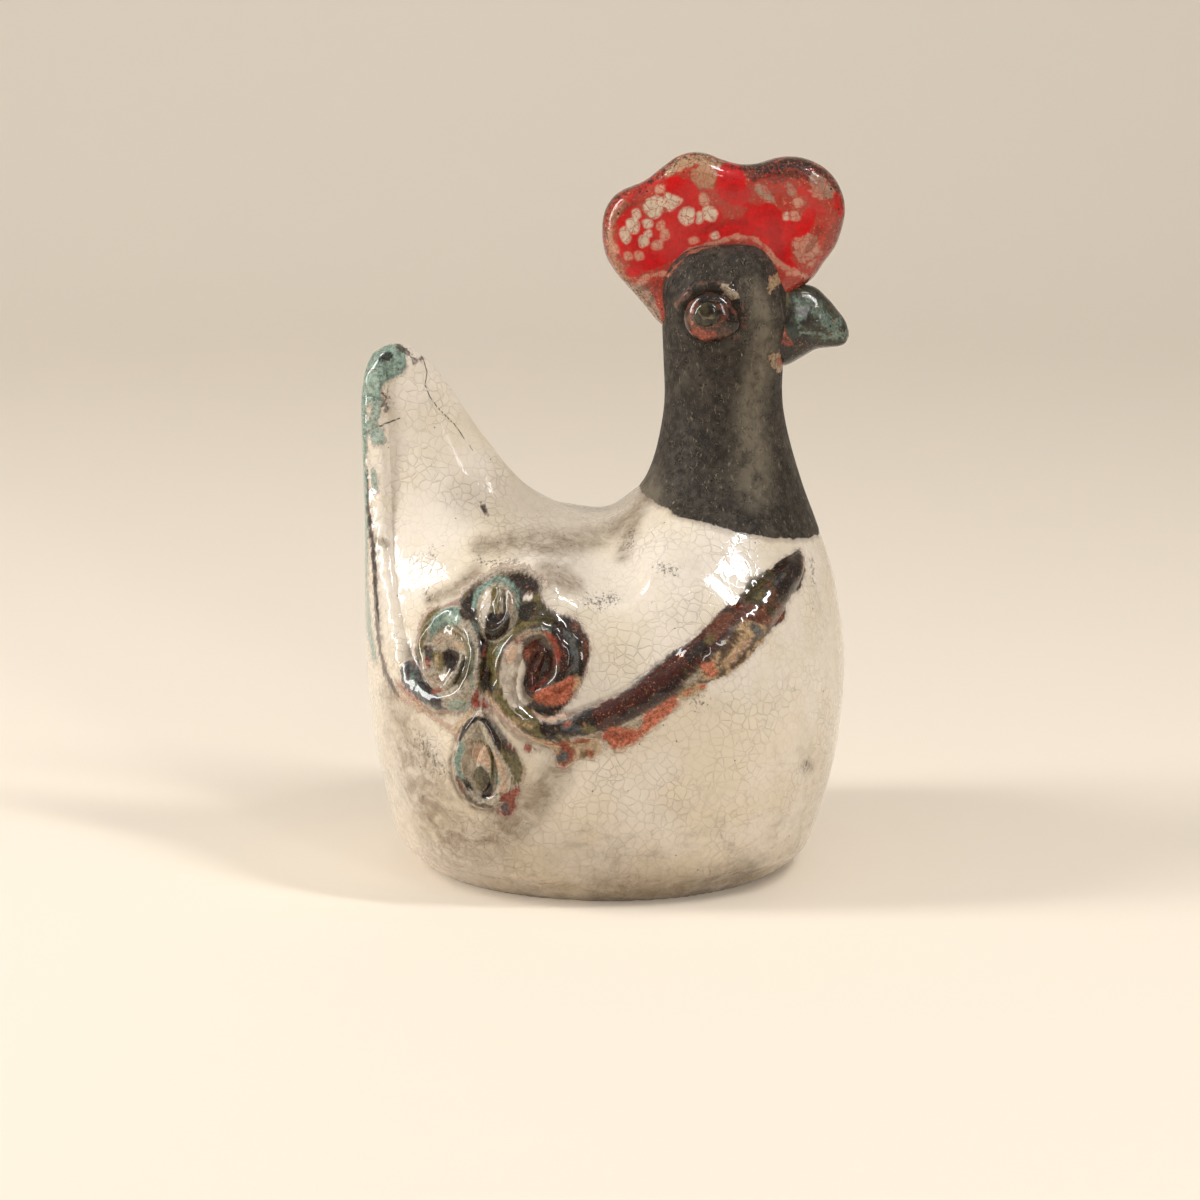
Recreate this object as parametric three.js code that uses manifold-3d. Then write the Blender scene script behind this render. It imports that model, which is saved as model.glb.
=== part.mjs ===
// Hollow raku ceramic bird with a raised comb, millimetres, +Z up.
// The bird faces +X and rests on its flat foot at z = 0.
import * as THREE from 'three';
import { LoftGeometry } from 'three/addons/geometries/LoftGeometry.js';
import { mergeVertices } from 'three/addons/utils/BufferGeometryUtils.js';
import Module from 'manifold-3d';

// Driving dimensions of the body, mm
const BREAST_REACH = 66.1;
const RUMP_REACH = 66.2;
const BODY_WIDTH = 113;
const SADDLE_HEIGHT = 98.6;
const KEEL_DEPTH = 26;
const TAIL_HEIGHT = 145.2;
const TAIL_THICKNESS = 14;
const NECK_WIDTH = 32.4;
const NECK_DEPTH = 33;
const HEAD_WIDTH = 33.2;
const CROWN_HEIGHT = 173.5;
const CROWN_X = 33;

// Driving dimensions of the clay walls and joints, mm
const WALL = 6;
const BASE_THICKNESS = 6;
const FOOT_LENGTH = 98;
const FOOT_WIDTH = 85;
const FOOT_X = 1;
const VENT_BORE = 9;
const VENT_X = -20;
const JOINT_GAP = 0.3;
const TAIL_JOINT_HEIGHT = 106.5;
const TAIL_JOINT_SLOPE = 15.7;
const NECK_JOINT_HEIGHT = 98.2;
const NECK_JOINT_SLOPE = 13.7;

// Driving dimensions of the comb and the beak, mm
const COMB_THICKNESS = 11.5;
const COMB_ROUNDING = 4.6;
const COMB_RISE = 24;
const BEAK_LENGTH = 15.8;
const BEAK_HEIGHT = 22;
const BEAK_WIDTH = 15;

// Driving dimensions of the applied coils and pellets, mm
const COIL_RELIEF = 2.7;
const SWEEP_RELIEF = 3.1;
const EYE_DIAMETER = 14.2;
const EYE_RELIEF = 3.2;
const PUPIL_DIAMETER = 6.4;
const PUPIL_RELIEF = 1.9;
const BUD_WIDTH = 11.4;
const BUD_LENGTH = 16;
const BUD_RELIEF = 3.6;
const DROP_PELLET_WIDTH = 4.6;
const DROP_PELLET_LENGTH = 14;
const DROP_PELLET_RELIEF = 2.6;

// Fineness of the faceted forms: longest step along the skin in mm, and sides of each section
const SKIN_STEP = 9;
const SKIN_SIDES = 28;
const CAVITY_STEP = 18;
const CAVITY_SIDES = 16;
const COIL_SIDES = 8;

const wasm = await Module();
wasm.setup();

// Stations from the tail tip over the back to the crown. Each is one section of the skin that
// runs from a crest point to an outer point, with a half width, a pinch beside the crest and a
// fullness of the shoulder, where 2 is a plain ellipse.
const tailRise = TAIL_HEIGHT - SADDLE_HEIGHT;
const headRise = CROWN_HEIGHT - SADDLE_HEIGHT;
const halfBody = BODY_WIDTH / 2;
const halfTail = TAIL_THICKNESS / 2;
const halfNeck = NECK_WIDTH / 2;
const halfHead = HEAD_WIDTH / 2;
const nape = CROWN_X - 17;
const throat = nape + NECK_DEPTH;

function station(crestX, crestZ, outerX, outerZ, half, pinch = 0, full = 2) {
  return { crestX, crestZ, outerX, outerZ, half, pinch, full };
}

const onTail = (share) => SADDLE_HEIGHT + tailRise * share;
const onNeck = (share) => SADDLE_HEIGHT + headRise * share;
const onBody = (share) => SADDLE_HEIGHT * share;

const STATIONS = [
  station(-RUMP_REACH + 8.6, onTail(1), -RUMP_REACH + 7.8, onTail(0.997), 0.5),
  station(-RUMP_REACH + 15.7, onTail(0.95), -RUMP_REACH + 2.2, onTail(0.9), halfTail * 0.69),
  station(-RUMP_REACH + 23.7, onTail(0.764), -RUMP_REACH, onTail(0.674), halfTail),
  station(-RUMP_REACH + 33.2, onTail(0.453), -RUMP_REACH + 0.1, onTail(0.373), halfTail + 2.5),
  station(-RUMP_REACH + 43.7, onTail(0.18), -RUMP_REACH + 0.5, onBody(0.994), halfBody * 0.27, 0.1, 2.1),
  station(-RUMP_REACH + 52.7, onTail(0.052), -RUMP_REACH + 0.4, onBody(0.791), halfBody * 0.5, 0.2, 2.2),
  station(-8, onTail(0.013), -RUMP_REACH + 0.4, onBody(0.578), halfBody * 0.77, 0.3, 2.35),
  station(-4.5, SADDLE_HEIGHT, -RUMP_REACH + 3.7, onBody(0.304), halfBody * 0.92, 0.35, 2.5),
  station(-2.5, SADDLE_HEIGHT - 0.1, -RUMP_REACH + 12.2, 2, halfBody * 0.973, 0.35, 2.5),
  station(-0.5, SADDLE_HEIGHT, -30, -KEEL_DEPTH + 5, halfBody, 0.35, 2.5),
  station(1, SADDLE_HEIGHT + 0.3, 10, -KEEL_DEPTH, halfBody, 0.35, 2.5),
  station(2.7, SADDLE_HEIGHT + 1, BREAST_REACH - 18.6, -KEEL_DEPTH + 17, halfBody * 0.973, 0.35, 2.5),
  station(4.5, SADDLE_HEIGHT + 2, BREAST_REACH - 4.1, onBody(0.223), halfBody * 0.92, 0.3, 2.45),
  station(7, SADDLE_HEIGHT + 4, BREAST_REACH + 0.2, onBody(0.527), halfBody * 0.796, 0.25, 2.3),
  station(9.6, onNeck(0.085), BREAST_REACH - 2.1, onBody(0.781), halfBody * 0.62, 0.15, 2.15),
  station(nape - 3.8, onNeck(0.147), throat + 10.2, onBody(0.943), halfNeck + 10.3, 0.05, 2.05),
  station(nape - 1.6, onNeck(0.246), throat + 5, onNeck(0.119), halfNeck + 4.3),
  station(nape, onNeck(0.4), throat, onNeck(0.379), halfNeck),
  station(nape - 0.3, onNeck(0.566), throat, onNeck(0.573), halfHead * 0.952),
  station(nape - 0.6, onNeck(0.713), throat + 2, onNeck(0.713), halfHead),
  station(nape + 2, onNeck(0.857), throat, onNeck(0.866), halfHead * 0.89),
  station(CROWN_X - 7.5, onNeck(0.969), CROWN_X + 8, onNeck(0.977), halfHead * 0.54),
  station(CROWN_X - 0.2, CROWN_HEIGHT, CROWN_X + 0.6, CROWN_HEIGHT, 0.5),
];
const LAST = STATIONS.length - 1;

// Smooth value of one station property at a place counted in stations
function smooth(key, along) {
  const i = Math.min(Math.max(Math.floor(along), 0), LAST - 1);
  const w = along - i;
  const p1 = STATIONS[i][key];
  const p2 = STATIONS[i + 1][key];
  const p0 = i > 0 ? STATIONS[i - 1][key] : 2 * p1 - p2;
  const p3 = i + 2 <= LAST ? STATIONS[i + 2][key] : 2 * p2 - p1;
  const m1 = (p2 - p0) / 2;
  const m2 = (p3 - p1) / 2;
  const square = 3 * p2 - 3 * p1 - 2 * m1 - m2;
  const cube = 2 * p1 - 2 * p2 + m1 + m2;
  return p1 + m1 * w + square * w * w + cube * w * w * w;
}

// Point of the skin, or of a skin grown outwards or inwards. Along counts stations, across runs
// from -1 on the crest to 1 on the outer line, and side is -1 for the right flank, 1 for the left.
function skinPoint(along, across, side, grow = 0) {
  const crest = new THREE.Vector2(smooth('crestX', along), smooth('crestZ', along));
  const outer = new THREE.Vector2(smooth('outerX', along), smooth('outerZ', along));
  const middle = crest.clone().add(outer).multiplyScalar(0.5);
  const reach = outer.clone().sub(crest).multiplyScalar(0.5);
  reach.setLength(reach.length() + grow);
  const full = across < 0 ? smooth('full', along) : 2;
  const round = Math.pow(Math.max(0, 1 - Math.pow(Math.abs(across), full)), 1 / full);
  const pinch = 1 - smooth('pinch', along) * THREE.MathUtils.smoothstep(-across, 0.7, 1);
  const half = (smooth('half', along) + grow) * round * pinch;
  return new THREE.Vector3(middle.x + reach.x * across, side * half, middle.y + reach.y * across);
}

// One closed skin through the stations between two places
function skinSolid(from, to, step, sides, grow = 0) {
  const places = [];
  for (let i = from; i < to; i++) {
    const gap = skinPoint(i, 1, 1).distanceTo(skinPoint(i + 1, 1, 1));
    const count = Math.max(1, Math.ceil(gap / step));
    for (let k = 0; k < count; k++) {
      places.push(i + k / count);
    }
  }
  places.push(to);
  const sections = places.map((along) => {
    const ring = [];
    for (let j = 0; j < sides; j++) {
      const turn = 2 * Math.PI * j / sides;
      ring.push(skinPoint(along, -Math.cos(turn), -Math.sign(Math.sin(turn)), grow));
    }
    return ring;
  });
  return toSolid(loft(sections));
}

function loft(sections) {
  return new LoftGeometry(sections, { closed: true, capStart: true, capEnd: true });
}

// Change between three.js geometry and solids that can be joined and cut
function toSolid(geometry) {
  const bare = new THREE.BufferGeometry();
  bare.setAttribute('position', geometry.getAttribute('position'));
  bare.setIndex(geometry.index);
  const merged = mergeVertices(bare, 1e-4);
  const vertProperties = new Float32Array(merged.attributes.position.array);
  const triVerts = new Uint32Array(merged.index.array);
  const solid = new wasm.Manifold(new wasm.Mesh({ numProp: 3, vertProperties, triVerts }));
  if (solid.volume() > 0) {
    return solid;
  }
  for (let i = 0; i < triVerts.length; i += 3) {
    [triVerts[i + 1], triVerts[i + 2]] = [triVerts[i + 2], triVerts[i + 1]];
  }
  return new wasm.Manifold(new wasm.Mesh({ numProp: 3, vertProperties, triVerts }));
}

function toGeometry(solid) {
  const mesh = solid.getMesh();
  const geometry = new THREE.BufferGeometry();
  geometry.setAttribute('position', new THREE.BufferAttribute(mesh.vertProperties, 3));
  geometry.setIndex(new THREE.BufferAttribute(mesh.triVerts, 1));
  geometry.computeVertexNormals();
  return geometry;
}

// Straight block across the whole width, from a side outline of x and z pairs
function sideBlock(points) {
  const width = BODY_WIDTH * 2;
  const outline = new THREE.Shape(points.map(([x, z]) => new THREE.Vector2(x, z)));
  const block = new THREE.ExtrudeGeometry(outline, { depth: width, bevelEnabled: false });
  block.translate(0, 0, -width / 2);
  block.rotateX(Math.PI / 2);
  return toSolid(block);
}

// Block above a sloping joint line, shifted by a part of the joint gap
function aboveLine(fromX, toX, atX, height, slope, shift) {
  const rise = Math.tan(THREE.MathUtils.degToRad(slope));
  const lineZ = (x) => height + (x - atX) * rise + shift;
  const top = CROWN_HEIGHT * 2;
  return sideBlock([[fromX, lineZ(fromX)], [toX, lineZ(toX)], [toX, top], [fromX, top]]);
}

const tailCut = (shift) => aboveLine(
  -RUMP_REACH * 2, -RUMP_REACH + 48, -RUMP_REACH + 20, TAIL_JOINT_HEIGHT, TAIL_JOINT_SLOPE, shift);
const neckCut = (shift) => aboveLine(
  nape - 10.5, BREAST_REACH * 2, nape + 18, NECK_JOINT_HEIGHT, -NECK_JOINT_SLOPE, shift);
const floorCut = (height) => sideBlock([
  [-RUMP_REACH * 2, -KEEL_DEPTH * 2], [BREAST_REACH * 2, -KEEL_DEPTH * 2],
  [BREAST_REACH * 2, height], [-RUMP_REACH * 2, height]]);

// The clay vessel: base, body, tail and neck, cut apart at their joints
const skin = skinSolid(0, LAST, SKIN_STEP, SKIN_SIDES);
const clearSkin = skinSolid(0, LAST, SKIN_STEP, SKIN_SIDES, JOINT_GAP);
const cavity = skinSolid(3, 20, CAVITY_STEP, CAVITY_SIDES, -WALL);

const ventTool = new THREE.CylinderGeometry(VENT_BORE / 2, VENT_BORE / 2, BASE_THICKNESS * 4, 24);
ventTool.rotateX(Math.PI / 2);
ventTool.translate(VENT_X, 0, 0);

// The foot's lower edge is rounded in to a smaller oval. Its profile gives shares of the foot's
// half size and of the base thickness.
const FOOT_PROFILE = [[0, 0], [1, 0], [1.045, 0.13], [1.08, 0.36], [1.115, 0.7], [1.18, 1.1], [0, 1.1]];
const footBowl = new THREE.LatheGeometry(FOOT_PROFILE.map((p) => new THREE.Vector2(...p)), 40);
footBowl.rotateX(Math.PI / 2);
footBowl.scale(FOOT_LENGTH / 2, FOOT_WIDTH / 2, BASE_THICKNESS);
footBowl.translate(FOOT_X, 0, 0);

const baseSlab = skin
  .intersect(toSolid(footBowl))
  .intersect(floorCut(BASE_THICKNESS))
  .subtract(toSolid(ventTool));
const bodyShell = skin
  .subtract(floorCut(BASE_THICKNESS + JOINT_GAP))
  .subtract(tailCut(0))
  .subtract(neckCut(0))
  .subtract(cavity);
const tail = skin.intersect(tailCut(JOINT_GAP)).subtract(cavity);
const neckAndHead = skin.intersect(neckCut(JOINT_GAP)).subtract(cavity);

// The comb: a thick slab with a rounded rim that straddles the head. Its side outline is given
// from the crown, x in mm, z as a share of the comb's rise above it and in mm below it.
const COMB_OUTLINE = [
  [-12, -26], [-17.6, -22.4], [-22.8, -18], [-28.5, -12.3], [-32, -5], [-33.5, 0.16],
  [-32.6, 0.34], [-26.8, 0.61], [-18, 0.83], [-10, 1], [-3.5, 0.97], [4, 0.88], [11.3, 0.92],
  [17.8, 0.95], [24, 0.87], [29.6, 0.69], [31.7, 0.39], [30, 0.07],
  [26.2, -5.5], [23.6, -9.6], [19, -14], [12, -20], [0, -25],
];
const combLine = new THREE.CatmullRomCurve3(COMB_OUTLINE.map(([x, z]) => new THREE.Vector3(
  CROWN_X + x, CROWN_HEIGHT + (z > 0 ? z * COMB_RISE : z), 0)), true);

function combSlab(grow) {
  const outline = new THREE.Shape(combLine.getPoints(46).slice(0, -1));
  const slab = new THREE.ExtrudeGeometry(outline, {
    depth: COMB_THICKNESS - 2 * COMB_ROUNDING,
    bevelThickness: COMB_ROUNDING + grow,
    bevelSize: COMB_ROUNDING + grow,
    bevelOffset: -COMB_ROUNDING,
    bevelSegments: 3,
    steps: 1,
  });
  slab.translate(0, 0, COMB_ROUNDING - COMB_THICKNESS / 2);
  slab.rotateX(Math.PI / 2);
  return toSolid(slab);
}
const comb = combSlab(0).subtract(clearSkin);

// The beak: oval sections from its root in the head to the drooping tip. Each gives a place
// along the beak, a centre height and a share of the full height and width.
const beakRootX = throat + 1.6;
const beakRootZ = onNeck(0.69);
const BEAK_SECTIONS = [
  [-0.55, 0, 1.06, 1.1], [-0.1, -0.2, 1.02, 1.04], [0.18, 0.9, 0.92, 0.95], [0.43, 1.5, 0.77, 0.84],
  [0.65, 0.2, 0.6, 0.7], [0.82, -1.3, 0.44, 0.54], [0.94, -2.2, 0.28, 0.36], [1, -2.7, 0.08, 0.1],
];
const beakRings = BEAK_SECTIONS.map(([place, lift, tall, wide]) => {
  const ring = [];
  for (let j = 0; j < 18; j++) {
    const turn = 2 * Math.PI * j / 18;
    ring.push(new THREE.Vector3(
      beakRootX + BEAK_LENGTH * place,
      BEAK_WIDTH / 2 * wide * Math.cos(turn),
      beakRootZ + lift + BEAK_HEIGHT / 2 * tall * Math.sin(turn)));
  }
  return ring;
});
const beak = toSolid(loft(beakRings)).subtract(clearSkin).subtract(combSlab(JOINT_GAP));

// Local directions of the skin: out of the flank, and up along it
function flankFrame(along, across, side) {
  const at = skinPoint(along, across, side);
  const ahead = skinPoint(along + 0.02, across, side).sub(skinPoint(along - 0.02, across, side));
  const over = skinPoint(along, across + 0.01, side).sub(skinPoint(along, across - 0.01, side));
  const out = ahead.cross(over).normalize();
  if (out.y * side < 0) {
    out.negate();
  }
  const up = new THREE.Vector3(0, 0, 1).addScaledVector(out, -out.z).normalize();
  return { at, out, up, over: new THREE.Vector3().crossVectors(up, out) };
}

// A coil of clay along a path on the flank. Path points give along, across and width.
function coil(path, relief, side, grow = 0) {
  const curve = new THREE.CatmullRomCurve3(path.map((p) => new THREE.Vector3(...p)));
  const count = Math.round((path.length - 1) * 1.6);
  const spine = [];
  for (let i = 0; i <= count; i++) {
    const p = curve.getPoint(i / count);
    spine.push({ ...flankFrame(p.x, p.y, side), width: p.z });
  }
  const sections = spine.map((here, i) => {
    const before = spine[Math.max(i - 1, 0)].at;
    const after = spine[Math.min(i + 1, count)].at;
    const way = new THREE.Vector3().subVectors(after, before).normalize();
    const across = new THREE.Vector3().crossVectors(here.out, way).normalize();
    const ring = [];
    for (let j = 0; j < COIL_SIDES; j++) {
      const turn = 2 * Math.PI * j / COIL_SIDES;
      const tall = Math.min(relief, here.width * 0.62) + grow;
      ring.push(here.at.clone()
        .addScaledVector(across, Math.cos(turn) * (here.width / 2 + grow))
        .addScaledVector(here.out, Math.sin(turn) * tall));
    }
    return ring;
  });
  return toSolid(loft(sections));
}

// A rounded pellet on the flank. Its length runs up the flank, turned by a lean in degrees, and
// its middle is lifted off the skin.
function pellet(place, side, { width, length, relief, lean = 0, lift = 0 }, grow = 0) {
  const { at, out, up, over } = flankFrame(place[0], place[1], side);
  const ball = new THREE.SphereGeometry(1, 16, 10);
  ball.scale(width / 2 + grow, length / 2 + grow, relief + grow);
  ball.rotateZ(side * THREE.MathUtils.degToRad(lean));
  at.addScaledVector(out, lift);
  ball.applyMatrix4(new THREE.Matrix4().makeBasis(over, up, out).setPosition(at));
  return toSolid(ball);
}

// Paths of the coils as along, across and width
const REAR_SCROLL = [
  [0.75, 0.6, 2], [1.44, 0.6, 4.2], [2.2, 0.66, 5], [3, 0.71, 5.5], [3.8, 0.75, 5.8],
  [4.6, 0.75, 6.1], [5.51, 0.67, 6.4], [6.01, 0.6, 6.6], [6.44, 0.49, 6.2], [6.77, 0.33, 5.4],
  [6.96, 0.16, 4.8], [6.85, 0.02, 4.6], [6.5, -0.04, 4.6], [6.08, 0, 4.6], [5.74, 0.13, 4.6],
  [5.7, 0.28, 4.4], [5.94, 0.36, 4.2], [6.26, 0.34, 3.8], [6.48, 0.25, 3.2], [6.5, 0.17, 2],
];
const FRONT_SCROLL = [
  [14.71, 0.71, 2.2], [14.25, 0.49, 6], [13.63, 0.23, 7.6], [12.8, -0.05, 8.2], [11.89, -0.24, 8.2],
  [10.94, -0.34, 7.8], [10.23, -0.33, 7.2], [9.6, -0.28, 6.8], [9.04, -0.21, 6.8], [8.49, -0.15, 6.6],
  [7.96, -0.13, 6.2], [7.52, -0.16, 6], [7.22, -0.23, 5.8], [7.2, -0.36, 5.6], [7.66, -0.51, 5.6],
  [8.49, -0.56, 5.8], [9.01, -0.52, 5.8], [9.11, -0.43, 5.4], [8.88, -0.35, 4.4], [8.49, -0.3, 3.6],
  [8.2, -0.31, 3.2], [8.05, -0.36, 3], [8.14, -0.41, 2.6], [8.36, -0.42, 1.8],
];
const DROP_REAR = [
  [7.57, 0.05, 2], [7.53, 0.17, 3.2], [7.66, 0.28, 3.6], [7.87, 0.33, 3.6], [8.15, 0.33, 3.6],
  [8.38, 0.28, 3.4],
];
const DROP_FRONT = [
  [7.57, 0.05, 2], [7.8, 0.04, 3], [8.1, 0.05, 3.2], [8.35, 0.1, 3.2], [8.47, 0.19, 3.4],
  [8.38, 0.28, 3.4],
];
const BUD_PLACE = [6.3, -0.28];
const DROP_PELLET_PLACE = [8.08, 0.17];
const EYE_PLACE = [19.25, -0.25];
const PUPIL_PLACE = [19.36, -0.28];

const BUD = { width: BUD_WIDTH, length: BUD_LENGTH, relief: BUD_RELIEF };
const DROP_PELLET = {
  width: DROP_PELLET_WIDTH, length: DROP_PELLET_LENGTH, relief: DROP_PELLET_RELIEF, lean: 8,
};
const EYE = { width: EYE_DIAMETER, length: EYE_DIAMETER, relief: EYE_RELIEF };
const PUPIL = {
  width: PUPIL_DIAMETER, length: PUPIL_DIAMETER, relief: PUPIL_RELIEF, lift: EYE_RELIEF - 0.2,
};

// The ornament of one flank, each piece cut clear of what it is pressed onto
function ornament(side) {
  const clearFront = coil(FRONT_SCROLL, SWEEP_RELIEF, side, JOINT_GAP);
  const clearRear = coil(REAR_SCROLL, COIL_RELIEF, side, JOINT_GAP);
  const clearRim = coil(DROP_REAR, COIL_RELIEF, side, JOINT_GAP)
    .add(coil(DROP_FRONT, COIL_RELIEF, side, JOINT_GAP));
  const frontScroll = coil(FRONT_SCROLL, SWEEP_RELIEF, side).subtract(clearSkin);
  const rearScroll = coil(REAR_SCROLL, COIL_RELIEF, side)
    .subtract(clearSkin)
    .subtract(clearFront);
  const bud = pellet(BUD_PLACE, side, BUD)
    .subtract(clearSkin)
    .subtract(clearFront)
    .subtract(clearRear);
  const dropRim = coil(DROP_REAR, COIL_RELIEF, side)
    .add(coil(DROP_FRONT, COIL_RELIEF, side))
    .subtract(clearSkin)
    .subtract(clearFront)
    .subtract(clearRear);
  const dropPellet = pellet(DROP_PELLET_PLACE, side, DROP_PELLET)
    .subtract(clearSkin)
    .subtract(clearRim);
  const eye = pellet(EYE_PLACE, side, EYE).subtract(clearSkin);
  const pupil = pellet(PUPIL_PLACE, side, PUPIL)
    .subtract(pellet(EYE_PLACE, side, EYE, JOINT_GAP))
    .subtract(clearSkin);
  return { frontScroll, rearScroll, bud, dropRim, dropPellet, eye, pupil };
}

// Glaze and clay colours seen on the pieces
const crackleGlaze = { color: 0xd9cbb2, roughness: 0.22, metalness: 0 };
const smokedClay = { color: 0x46423d, roughness: 0.85, metalness: 0 };
const rawBase = { color: 0x8d8274, roughness: 0.9, metalness: 0 };
const redGlaze = { color: 0xb81a16, roughness: 0.15, metalness: 0 };
const darkGreenGlaze = { color: 0x3a4a44, roughness: 0.2, metalness: 0.1 };
const brownGlaze = { color: 0x4a1f14, roughness: 0.15, metalness: 0.1 };
const oliveGlaze = { color: 0x77745a, roughness: 0.2, metalness: 0.1 };
const blackGlaze = { color: 0x1d1a18, roughness: 0.12, metalness: 0 };

const bird = new THREE.Group();

function addPiece(name, solid, look) {
  const mesh = new THREE.Mesh(toGeometry(solid), new THREE.MeshStandardMaterial(look));
  mesh.name = name;
  bird.add(mesh);
}

addPiece('base_slab', baseSlab, rawBase);
addPiece('body_shell', bodyShell, crackleGlaze);
addPiece('tail', tail, crackleGlaze);
addPiece('neck_and_head', neckAndHead, smokedClay);
addPiece('comb', comb, redGlaze);
addPiece('beak', beak, darkGreenGlaze);
for (const [word, side] of [['right', -1], ['left', 1]]) {
  const pieces = ornament(side);
  addPiece(`front_scroll_${word}`, pieces.frontScroll, brownGlaze);
  addPiece(`rear_scroll_${word}`, pieces.rearScroll, oliveGlaze);
  addPiece(`bud_${word}`, pieces.bud, oliveGlaze);
  addPiece(`drop_rim_${word}`, pieces.dropRim, oliveGlaze);
  addPiece(`drop_pellet_${word}`, pieces.dropPellet, blackGlaze);
  addPiece(`eye_${word}`, pieces.eye, brownGlaze);
  addPiece(`pupil_${word}`, pieces.pupil, blackGlaze);
}

export default bird;
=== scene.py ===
"""A hollow-built ceramic bird: crackle-glazed body and tail, bare smoked neck, red comb and clay coils."""

import math

import bmesh
import bpy
import numpy as np
from mathutils import Matrix, Vector, noise
from mathutils.kdtree import KDTree


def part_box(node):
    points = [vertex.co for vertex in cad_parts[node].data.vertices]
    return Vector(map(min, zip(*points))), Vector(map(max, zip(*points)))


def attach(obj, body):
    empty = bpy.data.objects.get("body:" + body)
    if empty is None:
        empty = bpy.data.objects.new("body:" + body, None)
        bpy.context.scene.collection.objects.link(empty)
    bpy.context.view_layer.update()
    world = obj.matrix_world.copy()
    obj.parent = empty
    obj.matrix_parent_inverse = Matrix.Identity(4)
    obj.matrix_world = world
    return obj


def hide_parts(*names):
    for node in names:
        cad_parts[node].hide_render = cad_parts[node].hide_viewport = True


bl_info = {
    "name": "Crackle-glazed clay bird",
    "version": (1, 0, 0),
    "blender": (4, 5, 0),
    "location": "3D View > Sidebar > Clay bird",
    "description": "Builds a hollow ceramic bird with coils of clay, piece by piece, and a plain studio",
    "category": "Add Mesh",
}

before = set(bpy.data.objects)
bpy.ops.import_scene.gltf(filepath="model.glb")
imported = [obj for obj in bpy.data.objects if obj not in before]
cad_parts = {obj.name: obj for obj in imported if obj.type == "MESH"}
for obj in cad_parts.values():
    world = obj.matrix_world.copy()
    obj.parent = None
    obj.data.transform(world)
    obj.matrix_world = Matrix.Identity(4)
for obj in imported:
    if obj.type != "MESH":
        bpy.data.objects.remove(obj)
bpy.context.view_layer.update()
MM = 0.001


def tone(red, green, blue):
    """A colour from its display values, 0 to 255, as linear light."""
    values = [v / 255 for v in (red, green, blue)]
    return [v / 12.92 if v <= 0.04045 else ((v + 0.055) / 1.055) ** 2.4 for v in values]


# Sizes of the thrown and pinched skin, in millimetres

# Its reach to the rear and the front and below the floor, the heights of the saddle and the tail's tip, the
# crown's x and z, and the half widths
RUMP = -66.2
BREAST = 66.1
KEEL = -26.0
SADDLE = 98.6
TAIL_TIP = 145.2
CROWN = (33.0, 173.5)
HALF_BODY = 56.5
HALF_TAIL = 7.0
HALF_NECK = 16.2
HALF_HEAD = 16.6
NAPE = CROWN[0] - 17
THROAT = NAPE + 33


def on_body(share):
    """A height, as a share of the saddle's height."""
    return SADDLE * share


def on_tail(share):
    """A height, as a share of the way from the saddle up to the tail's tip."""
    return SADDLE + (TAIL_TIP - SADDLE) * share


def on_neck(share):
    """A height, as a share of the way from the saddle up to the crown."""
    return SADDLE + (CROWN[1] - SADDLE) * share


def station(crest_x, crest_z, outer_x, outer_z, half, pinch=0.0, full=2.0):
    """One section of the skin, from the crest line to the outer line: its two ends, to a hundredth of a
    millimetre, its half width, the pinch at the crest and the fullness of the crest side."""
    ends = [round(place, 2) for place in (crest_x, crest_z, outer_x, outer_z)]
    return [*ends, round(half, 3), pinch, full]


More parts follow.
